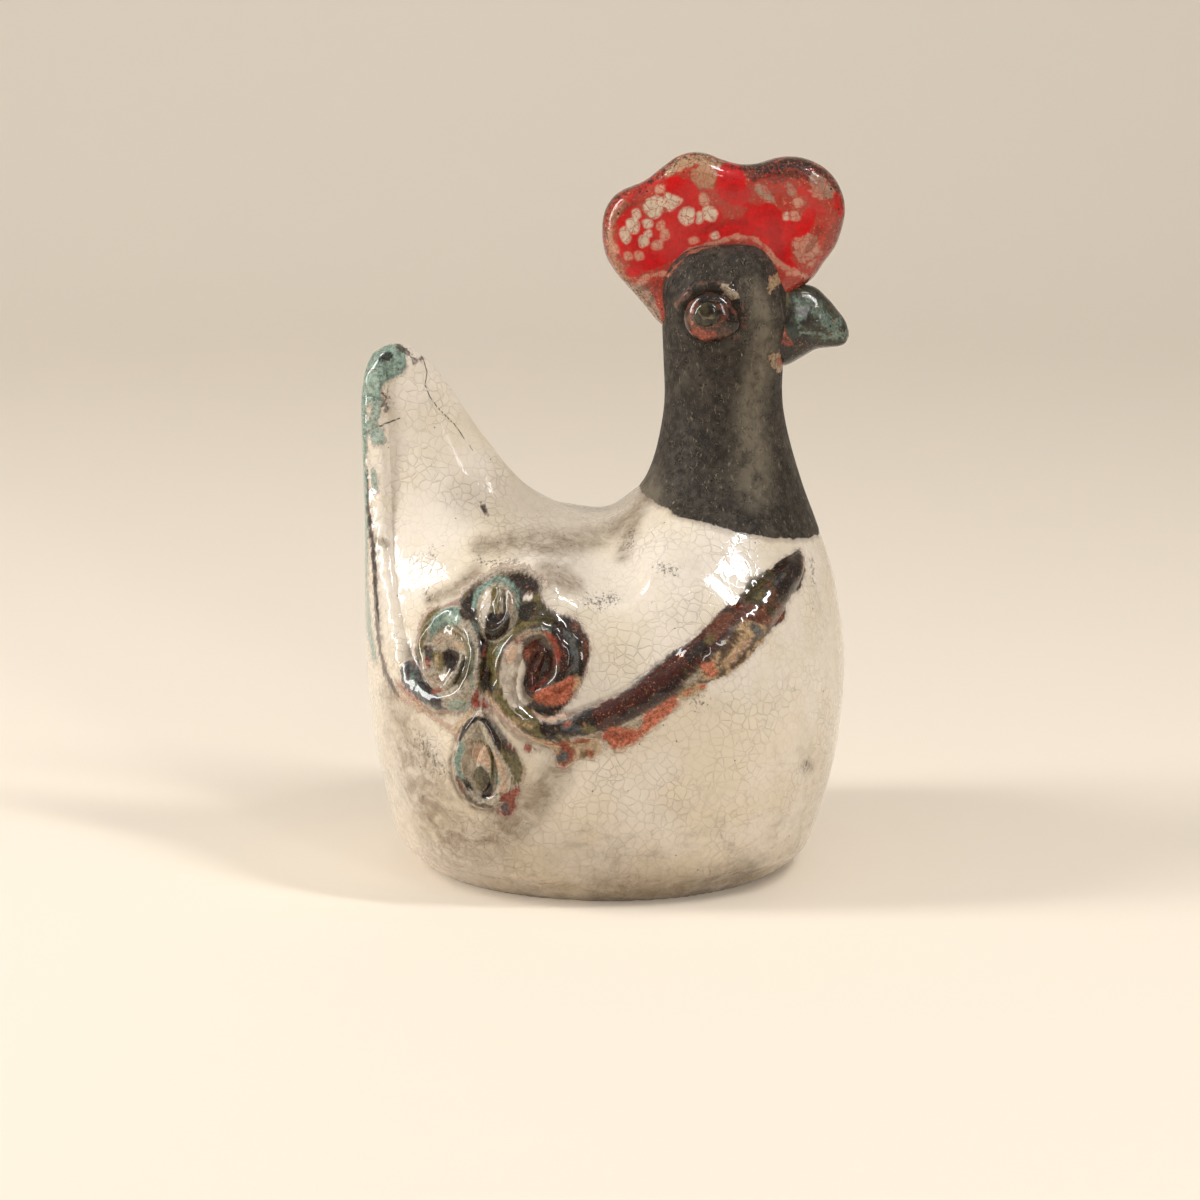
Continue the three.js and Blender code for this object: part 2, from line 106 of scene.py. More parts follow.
STATIONS = np.array([
    station(RUMP + 8.6, TAIL_TIP, RUMP + 7.8, on_tail(0.997), 0.5),
    station(RUMP + 15.7, on_tail(0.95), RUMP + 2.2, on_tail(0.9), HALF_TAIL * 0.69),
    station(RUMP + 23.7, on_tail(0.764), RUMP, on_tail(0.674), HALF_TAIL),
    station(RUMP + 33.2, on_tail(0.453), RUMP + 0.1, on_tail(0.373), HALF_TAIL + 2.5),
    station(RUMP + 43.7, on_tail(0.18), RUMP + 0.5, on_body(0.994), HALF_BODY * 0.27, 0.1, 2.1),
    station(RUMP + 52.7, on_tail(0.052), RUMP + 0.4, on_body(0.791), HALF_BODY * 0.5, 0.2, 2.2),
    station(-8, on_tail(0.013), RUMP + 0.4, on_body(0.578), HALF_BODY * 0.77, 0.3, 2.35),
    station(-4.5, SADDLE, RUMP + 3.7, on_body(0.304), HALF_BODY * 0.92, 0.35, 2.5),
    station(-2.5, SADDLE - 0.1, RUMP + 12.2, 2, HALF_BODY * 0.973, 0.35, 2.5),
    station(-0.5, SADDLE, -30, KEEL + 5, HALF_BODY, 0.35, 2.5),
    station(1, SADDLE + 0.3, 10, KEEL, HALF_BODY, 0.35, 2.5),
    station(2.7, SADDLE + 1, BREAST - 18.6, KEEL + 17, HALF_BODY * 0.973, 0.35, 2.5),
    station(4.5, SADDLE + 2, BREAST - 4.1, on_body(0.223), HALF_BODY * 0.92, 0.3, 2.45),
    station(7, SADDLE + 4, BREAST + 0.2, on_body(0.527), HALF_BODY * 0.796, 0.25, 2.3),
    station(9.6, on_neck(0.085), BREAST - 2.1, on_body(0.781), HALF_BODY * 0.62, 0.15, 2.15),
    station(NAPE - 3.8, on_neck(0.147), THROAT + 10.2, on_body(0.943), HALF_NECK + 10.3, 0.05, 2.05),
    station(NAPE - 1.6, on_neck(0.246), THROAT + 5, on_neck(0.119), HALF_NECK + 4.3),
    station(NAPE, on_neck(0.4), THROAT, on_neck(0.379), HALF_NECK),
    station(NAPE - 0.3, on_neck(0.566), THROAT, on_neck(0.573), HALF_HEAD * 0.952),
    station(NAPE - 0.6, on_neck(0.713), THROAT + 2, on_neck(0.713), HALF_HEAD),
    station(NAPE - 0.6, CROWN[1] - 10.6, THROAT, on_neck(0.866), HALF_HEAD - 1.4, 0, 2.5),
    station(NAPE + 5.4, CROWN[1] - 2.2, THROAT - 5.4, CROWN[1] - 1.6, HALF_HEAD - 6, 0, 2.5),
    station(CROWN[0] - 0.2, CROWN[1], CROWN[0] + 0.6, CROWN[1], 0.5),
])
# The foot's oval, and its rounded edge: a share of the foot's height, and how far out the skin reaches there
FOOT = {"x": 1.0, "half_length": 49.0, "half_width": 42.5, "height": 6.0}
FOOT_PROFILE = np.array([
    [0, 1.0], [0.13, 1.045], [0.36, 1.08], [0.7, 1.115], [1.1, 1.18], [1.6, 1.34], [2.4, 2.0],
])
VENT = {"x": -20.0, "radius": 4.5}
# The planes of the joints: a point, x and z, and the direction up through them
FLOOR_JOINT = {"point": (0, 6.15), "outward": (0, 1)}
FOOT_PLANE = {"point": (0, 0.02), "outward": (0, 1)}
TAIL_LEAN = math.radians(15.7)
TAIL_JOINT = {"point": (RUMP + 20, 106.5), "outward": (-math.sin(TAIL_LEAN), math.cos(TAIL_LEAN))}
NECK_LEAN = math.radians(13.7)
NECK_JOINT = {"point": (NAPE + 18, 98.2), "outward": (math.sin(NECK_LEAN), math.cos(NECK_LEAN))}

# Coils laid on the skin: station, place from the crest (-1) to the outer line (1), width
REAR_SCROLL = np.array([
    [0.75, 0.6, 2], [1.44, 0.6, 4.2], [2.2, 0.66, 5], [3, 0.71, 5.5], [3.8, 0.75, 5.8], [4.6, 0.75, 6.1],
    [5.51, 0.67, 6.4], [6.01, 0.6, 6.6], [6.44, 0.49, 6.2], [6.77, 0.33, 5.4], [6.96, 0.16, 4.8],
    [6.85, 0.02, 4.6], [6.5, -0.04, 4.6], [6.08, 0, 4.6], [5.74, 0.13, 4.6], [5.9, 0.36, 4.2],
    [6.2, 0.375, 3.8], [6.46, 0.345, 3.4], [6.68, 0.28, 3], [6.68, 0.21, 2.8], [6.6, 0.15, 2.8],
    [6.46, 0.105, 2.4], [6.4, 0.085, 1.6],
])
FRONT_SCROLL = np.array([
    [14.71, 0.71, 2.2], [14.25, 0.49, 6], [13.63, 0.23, 7.6], [12.8, -0.05, 8.2], [11.89, -0.24, 8.2],
    [10.94, -0.34, 7.8], [10.23, -0.33, 7.2], [9.6, -0.28, 6.8], [9.04, -0.21, 6.8], [8.49, -0.15, 6.6],
    [7.96, -0.13, 6.2], [7.52, -0.16, 6], [7.22, -0.23, 5.8], [7.2, -0.36, 5.6], [7.62, -0.51, 5.8],
    [8.26, -0.54, 6.2], [8.68, -0.51, 6.4], [8.78, -0.44, 5.6], [8.66, -0.37, 4.4], [8.48, -0.32, 3.4],
    [8.3, -0.28, 2.6], [8.18, -0.29, 2.4], [8.12, -0.335, 2.6], [8.06, -0.38, 2.6], [8.04, -0.43, 2.2],
    [7.98, -0.45, 1.6],
])
DROP_RIM = np.array([
    [7.5, 0.02, 2.6], [7.53, 0.17, 3.2], [7.66, 0.28, 3.6], [7.87, 0.33, 3.6], [8.15, 0.33, 3.6],
    [8.38, 0.27, 3.5], [8.47, 0.19, 3.4], [8.35, 0.1, 3.2], [8.1, 0.05, 3.2], [7.8, 0.04, 3],
    [7.55, 0.06, 2.6],
])
# Pellets pressed on the skin: station and place as above, size, height and lean in degrees
BUD = {"place": (6.3, -0.28), "wide": 12.0, "tall": 17.0, "relief": 3.4, "lean": 0}
DROP_PELLET = {"place": (8.08, 0.17), "wide": 4.8, "tall": 14.2, "relief": 2.5, "lean": 8}
EYE = {"place": (19.25, -0.25), "wide": 14.2, "tall": 14.2, "relief": 3.3, "lean": 0}
PUPIL = {"place": (19.36, -0.28), "wide": 6.4, "tall": 6.4, "relief": 1.55, "lean": 0}
# How far the pupil's foot lies above the skin, on the eye
PUPIL_LIFT = 2.85
# The clay collar round the eye: its centre, x and z, its ridge, and the reach and depth of the socket in it
COLLAR = {"centre": (28.9, 154.8), "radius": 8.7, "width": 1.25, "socket": 6.5, "depth": 0.5}

# The comb's outline from the crown; a height above it is a share of the comb's rise
COMB_OUTLINE = [
    [-12, -26], [-17.8, -23], [-22.5, -17.5], [-25.2, -14.4], [-28.2, -11.1], [-30.9, -7.5], [-32.7, -3.8],
    [-33.5, 0.05], [-33.2, 0.27], [-31.4, 0.45], [-28.3, 0.57], [-22, 0.69], [-17.2, 0.85], [-13.2, 0.97],
    [-9.1, 1.02], [-5.2, 1], [-1, 0.93], [3.6, 0.88], [8.3, 0.89], [13, 0.95], [17.2, 0.97], [21.5, 0.94],
    [25.9, 0.85], [29.2, 0.71], [31.3, 0.53], [32, 0.34], [31.2, 0.13], [29.4, -2], [26.2, -6.6],
    [23.4, -10.6], [19, -14], [12, -20], [0, -25],
]
COMB_RISE = 23.2
# How far in from its outline the comb's rounded rim reaches
COMB_RIM = 6.0
# The beak's sections: place along it, lift, height share, width share
BEAK_SECTIONS = np.array([
    [-0.55, 0, 1.06, 1.1], [-0.1, -0.2, 1.02, 1.04], [0.18, 0.9, 0.92, 0.95], [0.43, 1.5, 0.77, 0.84],
    [0.65, 0.2, 0.6, 0.7], [0.82, -1.3, 0.44, 0.54], [0.94, -2.2, 0.28, 0.36], [1, -2.7, 0.08, 0.1],
])
BEAK = {"x": 50.6, "z": 150.3, "length": 15.78, "height": 22.0, "width": 15.0}
# The ring of clay round the nostril, and the line of the mouth with its fall to the front
NOSTRIL = {"x": 57.8, "z": 153.6, "ring": 2.0, "hole": 1.2}
MOUTH = {"x": 58, "z": 146.9, "fall": 0.18, "width": 0.6, "depth": 0.35}

# Where each glaze was brushed or ran

# The flanks are painted from a side drawing of the bird, seen a little from above
DRAWING = {
    "middle": (-1.1, 73.3), "distance": 1300.0, "fall": math.radians(13.5), "width": 1200, "shown": 330.0,
}
# The glaze line round the neck: what lies above it is bare clay. Its height falls with x by this slope.
GLAZE_LINE = {"height": 108.6, "slope": 0.2432}

# The glazes in the order they lie on the ware: glaze, cover, raggedness of the edge, and either the corners
# of a patch or the points of a brush stroke, each with its reach. Places are across and down on the drawing.
SKIN_GLAZES = [
    ("umber", 0.45, 3, [(424, 606), (452, 602), (470, 588), (486, 574), (505, 567), (530, 570), (544, 580),
     (543, 600), (556, 612), (575, 614), (590, 632), (593, 650), (588, 676), (574, 700), (560, 716),
     (548, 722), (590, 706), (600, 738), (560, 745), (520, 736), (500, 722), (480, 706), (462, 716),
     (440, 714), (418, 700), (412, 680), (414, 640)]),
    ("umber", 0.9, 2, [(462, 606), (476, 588), (488, 578), (505, 571), (530, 574), (541, 586), (540, 600),
     (552, 612), (572, 617), (588, 634), (590, 652), (584, 676), (568, 704), (552, 718), (530, 712),
     (505, 712), (488, 698), (478, 680), (480, 640)]),
    ("umber", 0.95, 2, [(590, 714), (610, 699), (645, 679), (672, 656), (700, 634), (736, 600), (746, 588),
     (775, 566), (800, 551), (804, 575), (786, 604), (784, 620), (768, 632), (760, 645), (742, 665),
     (716, 680), (700, 686), (640, 716), (600, 737)]),
    ("cream", 0.9, 2, [(372, 440, 5), (376, 500, 5), (380, 560, 5), (385, 600, 6), (392, 645, 7),
     (402, 672, 7)]),
    ("soot", 0.3, 3, [(385, 536, 5), (386, 545, 4)]),
    ("near_black", 0.9, 1.5, [(367, 470, 1.2), (369, 520, 1.8), (373, 545, 2.6), (375, 580, 2.4),
     (377, 620, 2.2), (380, 650, 2), (386, 675, 2.4), (398, 696, 2.4)]),
    ("blue_grey", 0.9, 2, [(400, 668), (408, 658), (414, 664), (420, 672), (424, 684), (433, 690),
     (443, 700), (444, 710), (436, 710), (424, 703), (412, 696), (402, 684)]),
    ("near_black", 0.75, 5, [(408, 668, 3), (414, 680, 4), (426, 694, 4.4), (440, 704, 4)]),
    ("turquoise", 0.6, 4, [(411, 672, 2), (418, 690, 2), (424, 694, 2)]),
    ("rust", 0.7, 3, [(396, 680, 2), (404, 690, 2.5), (414, 699, 3), (420, 705, 2)]),
    ("crust", 0.5, 3, [(398, 694, 4), (420, 708, 4), (442, 722, 4), (462, 738, 4)]),
    ("shell_grey", 0.85, 1, [(420, 650), (424, 628), (434, 614), (450, 608), (462, 612), (472, 624),
     (478, 640), (480, 660), (477, 680), (470, 700), (460, 710), (446, 710), (440, 696), (430, 688),
     (423, 676)]),
    ("olive", 0.95, 1, [(419, 660, 2.4), (420, 645, 3), (424, 628, 3), (430, 616, 3), (438, 609, 2.4)]),
    ("near_black", 0.7, 1, [(416, 648, 0.8), (418, 665, 1.2), (422, 680, 2), (430, 690, 3)]),
    ("turquoise", 0.95, 1, [(429, 628), (432, 618), (440, 611), (450, 607), (458, 605), (462, 612),
     (459, 622), (450, 626), (441, 627), (436, 634), (430, 640)]),
    ("turquoise_pale", 0.8, 3, [(445, 616), (458, 612), (462, 620), (452, 625), (443, 622)]),
    ("turquoise", 0.8, 2, [(471, 619), (481, 625), (481, 637), (476, 632), (472, 626)]),
    ("blush_grey", 0.9, 2, [(432, 640), (438, 632), (448, 627), (458, 631), (466, 640), (468, 648),
     (458, 647), (446, 645), (436, 648)]),
    ("olive", 0.9, 0.8, [(447, 628, 1.2), (458, 634, 1.6), (466, 643, 2), (469, 656, 2), (468, 672, 2),
     (460, 686, 2)]),
    ("bottle", 0.8, 0.8, [(455, 626, 1.2), (466, 634, 1.4), (472, 646, 1.6), (473, 662, 1.8),
     (470, 678, 1.8)]),
    ("crust", 0.7, 2, [(454, 643), (463, 645), (464, 651), (456, 649)]),
    ("near_black", 0.85, 2, [(424, 644), (431, 646), (434, 656), (430, 662), (425, 658)]),
    ("rust", 0.7, 2, [(424, 656), (430, 660), (431, 670), (426, 668)]),
    ("olive", 0.9, 2, [(432, 652), (442, 650), (446, 662), (444, 671), (436, 671), (432, 662)]),
    ("crust", 0.7, 1, [(436, 656, 1.5), (438, 667, 2)]),
    ("near_black", 0.98, 0.8, [(442, 651), (450, 648), (460, 653), (459, 661), (454, 672), (448, 673),
     (444, 664)]),
    ("dark_olive", 0.9, 1, [(460, 662), (468, 656), (472, 668), (466, 680), (457, 686), (452, 682),
     (457, 674)]),
    ("blush_grey", 0.8, 1.5, [(428, 674), (438, 671), (447, 677), (445, 685), (434, 687), (427, 682)]),
    ("rust", 0.7, 3, [(434, 692, 2), (440, 690, 2)]),
    ("turquoise_pale", 0.8, 3, [(447, 704), (456, 699), (468, 700), (472, 704), (462, 711), (450, 711)]),
    ("turquoise", 0.7, 1, [(471, 676, 1.5), (473, 688, 1.5)]),
    ("smoke", 0.6, 3, [(464, 592, 5), (478, 580, 5), (500, 569, 5), (525, 568, 5), (544, 584, 5)]),
    ("olive", 0.95, 2, [(478, 640), (484, 650), (480, 662), (478, 676), (477, 688), (484, 694), (494, 704),
     (504, 714), (512, 712), (506, 700), (500, 688), (498, 672), (499, 658), (503, 646), (512, 636),
     (528, 627), (545, 624), (556, 628), (560, 620), (552, 616), (545, 610), (540, 600), (539, 592),
     (530, 598), (518, 604), (517, 616), (513, 630), (502, 640), (490, 643)]),
    ("near_black", 0.93, 2, [(507, 574), (520, 572), (534, 577), (540, 588), (532, 593), (521, 591),
     (513, 588), (508, 580)]),
    ("near_black", 0.96, 2, [(518, 606), (528, 602), (536, 601), (538, 612), (534, 618), (524, 623),
     (518, 618)]),
    ("dark_olive", 0.9, 2, [(534, 604), (540, 606), (548, 612), (558, 618), (556, 627), (546, 626),
     (536, 621)]),
    ("umber", 0.8, 2, [(462, 601, 2.6), (470, 591, 2.8), (480, 583, 1.6)]),
    ("near_black", 0.95, 1.5, [(459, 609), (466, 598), (474, 590), (480, 589), (476, 600), (477, 610),
     (473, 619), (465, 621), (460, 616)]),
    ("near_black", 0.93, 3, [(482, 624), (491, 640), (487, 650), (485, 662), (492, 671), (492, 684),
     (496, 690), (490, 698), (483, 688), (478, 678), (481, 664), (481, 650), (480, 638)]),
    ("rust", 0.6, 2, [(485, 645, 1.2), (484, 655, 1.4)]),
    # painted highlight: a small cream patch on the dark glaze, where a glint shows
    ("cream", 0.95, 1, [(524, 594), (534, 595), (531, 601), (523, 600)]),
    ("turquoise", 0.7, 1, [(501, 646, 2.2), (497, 654, 1.6)]),
    ("crust", 0.8, 3, [(472, 712, 4), (462, 722, 4), (455, 730, 3)]),
    ("rust", 0.95, 2, [(471, 701), (474, 694), (478, 688), (480, 700), (479, 711), (472, 707)]),
    ("rust", 0.9, 2, [(482, 697), (486, 702), (488, 710), (482, 709)]),
    ("umber", 0.7, 3, [(482, 712, 2.2), (490, 720, 2.2)]),
    ("blush", 0.75, 1.5, [(486, 694, 2.4), (496, 706, 2.6), (512, 722, 2.8), (530, 736, 2.8),
     (548, 744, 2)]),
    ("olive", 0.97, 1.5, [(497, 686), (504, 699), (510, 706), (524, 705), (531, 710), (538, 718),
     (542, 724), (547, 739), (534, 735), (522, 729), (510, 720), (500, 710)]),
    ("crust", 0.6, 4, [(514, 720, 2), (530, 727, 2)]),
    ("dark_olive", 0.9, 2, [(522, 729, 1.6), (538, 738, 2.2), (552, 741, 2)]),
    ("shell_grey", 0.97, 0.6, [(477, 620), (476, 604), (480, 592), (488, 584), (500, 580), (510, 584),
     (517, 594), (519, 610), (516, 626), (506, 638), (494, 644), (486, 640), (480, 632)]),
    ("cream_warm", 0.9, 1, [(480, 612), (481, 598), (486, 590), (491, 588), (491, 600), (488, 612),
     (484, 626)]),
    ("turquoise", 0.95, 1, [(474, 606, 2.6), (477, 594, 3), (484, 586, 3), (492, 581, 2.6), (502, 579, 3),
     (510, 584, 3), (513, 590, 2.4)]),
    ("turquoise", 0.85, 2, [(515, 588), (521, 594), (520, 606), (518, 618), (516, 606)]),
    ("near_black", 0.7, 2, [(520, 592, 1), (521, 604, 1.2)]),
    ("olive", 0.95, 0.8, [(492, 588), (496, 585), (499, 587), (500, 600), (499, 613), (491, 613),
     (491, 600)]),
    ("dark_olive", 0.9, 1, [(503, 590, 1.5), (505, 600, 2), (505, 612, 2)]),
    ("brown", 0.6, 1, [(508, 589, 1), (510, 600, 1.4), (510, 612, 1.4)]),
    ("near_black", 0.97, 1, [(487, 616), (491, 612), (500, 613), (510, 611), (510, 626), (503, 636),
     (492, 642), (485, 638), (484, 628)]),
    ("cream_warm", 0.97, 0.8, [(502, 664), (503, 654), (508, 645), (514, 639), (520, 638), (523, 646),
     (521, 655), (524, 662), (526, 668), (524, 676), (522, 684), (526, 694), (534, 700), (524, 706),
     (512, 709), (506, 700), (502, 690), (499, 678)]),
    ("blush", 0.8, 3, [(506, 656), (510, 646), (516, 642), (518, 652), (514, 664), (507, 664)]),
    ("blush_grey", 0.9, 1, [(512, 640), (520, 633), (530, 629), (540, 628), (549, 632), (554, 639),
     (551, 646), (546, 638), (540, 634), (530, 636), (522, 641), (515, 646)]),
    ("rust", 0.6, 4, [(514, 645, 1.6), (522, 636, 2)]),
    ("turquoise", 0.6, 1, [(535, 629, 1.2), (544, 628, 1.2), (550, 631, 1)]),
    ("near_black", 0.98, 1, [(552, 622), (560, 618), (570, 619), (578, 626), (584, 635), (589, 642),
     (589, 654), (585, 666), (584, 676), (576, 676), (568, 679), (558, 685), (553, 683), (558, 672),
     (561, 662), (560, 650), (556, 640), (551, 632)]),
    ("oxblood", 0.8, 3, [(560, 640, 3), (565, 655, 3), (563, 670, 3)]),
    ("blue_grey", 0.9, 3, [(566, 632, 2.6), (572, 642, 3.4), (575, 655, 3.4), (576, 668, 2.6)]),
    ("brown", 0.85, 4, [(572, 624, 2.4), (580, 632, 2.6), (586, 644, 2.6), (584, 660, 2)]),
    ("rust", 0.9, 1.5, [(543, 632, 2), (550, 637, 3), (556, 646, 3), (558, 655, 2.6), (556, 664, 2)]),
    ("oxblood", 0.98, 0.8, [(524, 658), (523, 650), (526, 643), (532, 639), (540, 641), (548, 646),
     (553, 656), (552, 670), (547, 680), (538, 690), (531, 695), (527, 692), (524, 684), (526, 674),
     (529, 664)]),
    ("brown", 0.9, 1.5, [(526, 648), (530, 642), (536, 642), (544, 647), (545, 652), (536, 652),
     (529, 656)]),
    ("olive", 0.7, 1, [(534, 637, 1.4), (542, 638, 2), (548, 646, 1.6)]),
    ("coral", 0.75, 2.5, [(524, 650), (528, 650), (530, 656), (525, 659)]),
    ("near_black", 0.85, 2, [(546, 652, 2.4), (546, 664, 3), (540, 678, 2.4), (534, 688, 2)]),
    ("near_black", 0.9, 1, [(526, 676, 2), (525, 686, 2), (528, 694, 1.6)]),
    ("rust", 0.7, 2, [(546, 678, 1.6), (540, 684, 2), (532, 690, 1.4)]),
    ("near_black", 0.98, 0.8, [(530, 699), (536, 702), (546, 704), (558, 704), (566, 703), (560, 712),
     (551, 717), (542, 716), (534, 710)]),
    ("coral", 0.97, 0.8, [(532, 698), (536, 691), (545, 688), (556, 684), (566, 678), (574, 675),
     (581, 679), (577, 688), (571, 696), (565, 704), (555, 706), (545, 705), (536, 702)]),
    ("crust", 0.8, 2, [(576, 677, 2.2), (580, 681, 2), (574, 690, 1.6)]),
    ("rust", 0.6, 3, [(548, 690, 2.4), (560, 690, 2.6), (568, 684, 2)]),
    ("blush", 0.8, 1, [(533, 711, 1.4), (541, 718, 1.8), (552, 720, 2), (564, 715, 1.8)]),
    ("crust", 0.85, 2.5, [(528, 735), (545, 741), (560, 742), (580, 739), (598, 736), (603, 748),
     (600, 756), (588, 760), (576, 760), (571, 768), (560, 768), (555, 760), (553, 750), (540, 744)]),
    ("rust", 0.8, 4, [(546, 743, 1.6), (560, 744, 2), (588, 741, 1.6)]),
    ("rust", 0.9, 2, [(562, 742), (570, 744), (576, 754), (570, 765), (560, 766), (555, 758), (560, 750)]),
    ("blue_grey", 0.95, 2, [(557, 754), (563, 750), (569, 756), (567, 763), (560, 764), (555, 759)]),
    ("rust", 0.85, 2, [(584, 750), (592, 749), (597, 754), (590, 758), (584, 755)]),
    ("olive", 0.7, 2, [(580, 752), (585, 750), (585, 759), (581, 758)]),
    ("rust", 0.9, 2, [(523, 747), (527, 743), (532, 747), (530, 753), (524, 752)]),
    ("rust", 0.7, 1, [(531, 749, 0.8), (538, 750, 0.7), (545, 753, 0.4)]),
    ("shell_grey", 0.7, 1, [(602, 741), (608, 741), (609, 749), (603, 749)]),
    ("near_black", 0.98, 1.5, [(538, 721), (552, 724), (562, 723), (570, 722), (578, 715), (585, 710),
     (592, 708), (601, 704), (601, 734), (586, 735), (572, 738), (560, 741), (548, 740), (540, 734)]),
    ("blue_grey", 0.8, 1.5, [(556, 722, 1.2), (570, 720, 1.8), (578, 715, 2), (590, 708, 1.4),
     (600, 703, 1.2)]),
    ("blue_grey", 0.8, 3, [(564, 728, 3), (578, 728, 3)]),
    ("olive", 0.9, 2, [(582, 726), (590, 724), (598, 730), (595, 735), (584, 734)]),
    ("olive", 0.85, 2, [(558, 737, 2), (567, 738, 2)]),
    ("coral", 0.8, 2, [(565, 725, 1.2), (569, 723, 1.4)]),
    ("oxblood", 0.99, 1, [(590, 713), (598, 705), (608, 698), (620, 697), (630, 689), (642, 679),
     (652, 670), (662, 663), (670, 655), (680, 650), (690, 643), (700, 632), (710, 623), (720, 611),
     (730, 602), (737, 597), (744, 606), (740, 617), (730, 628), (720, 641), (710, 655), (702, 664),
     (694, 673), (684, 683), (674, 693), (660, 701), (648, 709), (636, 716), (622, 722), (610, 728),
     (600, 734), (596, 722)]),
    ("near_black", 0.8, 4, [(612, 722, 2), (626, 714, 3), (640, 708, 4), (652, 700, 5), (664, 692, 5),
     (676, 684, 5), (686, 674, 4)]),
    ("near_black", 0.9, 4, [(686, 652), (698, 640), (710, 640), (708, 656), (696, 662), (688, 668)]),
    ("blue_grey", 0.8, 1.5, [(622, 694, 1), (632, 686, 1.3), (645, 676, 1.3), (660, 663, 1.6),
     (672, 653, 1.6), (688, 644, 1.2)]),
    ("brown", 0.9, 3, [(704, 632), (714, 620), (724, 609), (736, 600), (738, 612), (728, 628), (717, 641),
     (707, 645)]),
    ("olive", 0.8, 4, [(704, 634), (714, 632), (715, 640), (706, 643)]),
    ("umber", 0.9, 3, [(722, 610), (734, 600), (737, 610), (728, 616)]),
    ("dark_olive", 0.8, 5, [(686, 668, 3), (688, 678, 3), (696, 664, 2)]),
    ("brown", 0.96, 2, [(738, 612), (748, 604), (764, 598), (776, 601), (784, 609), (785, 616), (781, 623),
     (772, 623), (768, 630), (760, 634), (752, 628), (742, 622)]),
    ("dark_olive", 0.92, 3, [(744, 586), (752, 578), (762, 574), (773, 568), (777, 580), (779, 592),
     (779, 602), (766, 605), (754, 604), (746, 600)]),
    ("olive", 0.8, 4, [(756, 592), (765, 590), (766, 600), (757, 600)]),
    ("brown", 0.7, 5, [(768, 584, 3), (774, 594, 3), (770, 602, 3)]),
    ("near_black", 0.98, 1.5, [(772, 567), (780, 560), (788, 556), (796, 551), (799, 548), (803, 556),
     (805, 568), (803, 580), (800, 590), (793, 594), (787, 595), (785, 601), (780, 604), (777, 590),
     (775, 578)]),
    ("brown", 0.7, 2, [(803, 558, 1.2), (804, 570, 1.4)]),
    ("dark_olive", 0.9, 3, [(765, 608), (776, 605), (779, 614), (770, 619)]),
    ("crust", 0.95, 2, [(742, 620), (758, 622), (768, 627), (764, 635), (764, 643), (752, 650), (748, 659),
     (739, 667), (729, 675), (714, 679), (700, 682), (690, 684), (694, 674), (706, 663), (716, 656),
     (724, 645), (734, 632)]),
    ("umber", 0.85, 6, [(738, 634, 4), (726, 650, 3.4), (718, 664, 3)]),
    ("umber", 0.85, 6, [(760, 634, 4), (748, 648, 4), (736, 662, 3.4), (722, 672, 3)]),
    ("blush", 0.7, 6, [(748, 640, 3), (736, 652, 3), (728, 662, 3)]),
    ("blue_grey", 0.9, 3, [(750, 622), (760, 623), (763, 634), (754, 637)]),
    ("coral", 0.85, 3, [(702, 662), (714, 661), (719, 672), (712, 679), (703, 674)]),
    ("umber", 0.8, 5, [(704, 674, 2), (700, 680, 2)]),
    ("shell_grey", 0.9, 1.5, [(687, 677), (699, 670), (702, 677), (694, 684), (683, 688)]),
    ("crust", 0.9, 2, [(674, 696), (686, 688), (698, 683), (707, 684), (707, 690), (700, 692), (692, 697),
     (682, 701)]),
    ("coral", 0.9, 2, [(686, 693, 2.4), (690, 691, 2)]),
    ("coral", 0.9, 2, [(700, 687, 2.2), (704, 686, 2)]),
    ("crust", 0.7, 1, [(606, 740), (612, 752), (622, 752), (636, 745), (650, 733), (662, 722), (674, 712),
     (682, 704), (680, 698), (640, 722)]),
    ("coral", 0.97, 1.5, [(600, 734), (610, 728), (620, 726), (632, 729), (641, 727), (642, 718),
     (646, 712), (655, 709), (664, 703), (672, 697), (678, 695), (677, 706), (670, 713), (660, 722),
     (650, 730), (640, 738), (630, 746), (618, 750), (610, 748), (608, 740), (602, 741)]),
    ("shell_grey", 0.95, 1.2, [(618, 727), (628, 722), (638, 718), (644, 719), (643, 727), (632, 729)]),
    ("rust", 0.55, 4, [(604, 734, 3), (616, 736, 3), (630, 736, 3)]),
    ("near_black", 0.6, 3, [(616, 733, 0.9), (618, 734, 0.9)]),
    ("shell_grey", 0.92, 1, [(480, 715), (490, 722), (500, 738), (508, 756), (512, 772), (510, 790),
     (500, 804), (486, 810), (472, 806), (461, 793), (455, 776), (454, 758), (460, 738), (470, 722)]),
    ("cream_warm", 0.92, 1.5, [(462, 742), (470, 736), (476, 745), (472, 756), (474, 768), (470, 776),
     (463, 774), (461, 760)]),
    ("turquoise", 0.92, 1.5, [(457, 745), (464, 740), (466, 750), (461, 760), (461, 772), (466, 778),
     (462, 783), (456, 775), (453, 762)]),
    ("umber", 0.8, 2, [(456, 777, 1.6), (461, 789, 2), (468, 798, 2.2), (478, 805, 2), (490, 808, 2),
     (500, 811, 2)]),
    ("rust", 0.6, 3, [(459, 780, 1.6), (464, 791, 2)]),
    ("blue_grey", 0.8, 2, [(492, 722, 2), (498, 730, 2.4), (504, 740, 2.6)]),
    ("near_black", 0.98, 1, [(460, 740, 1.4), (464, 729, 3), (471, 721, 3.4), (479, 717, 1.8),
     (486, 722, 3), (492, 732, 3.4), (498, 743, 3.6), (502, 752, 2)]),
    ("olive", 0.96, 2, [(503, 742), (510, 744), (516, 752), (521, 760), (525, 770), (522, 782), (516, 787),
     (511, 784), (512, 772), (508, 764), (502, 757), (500, 748)]),
    ("umber", 0.85, 4, [(500, 740), (510, 742), (516, 752), (510, 756), (502, 749)]),
    ("rust", 0.7, 4, [(508, 744, 2), (513, 749, 2)]),
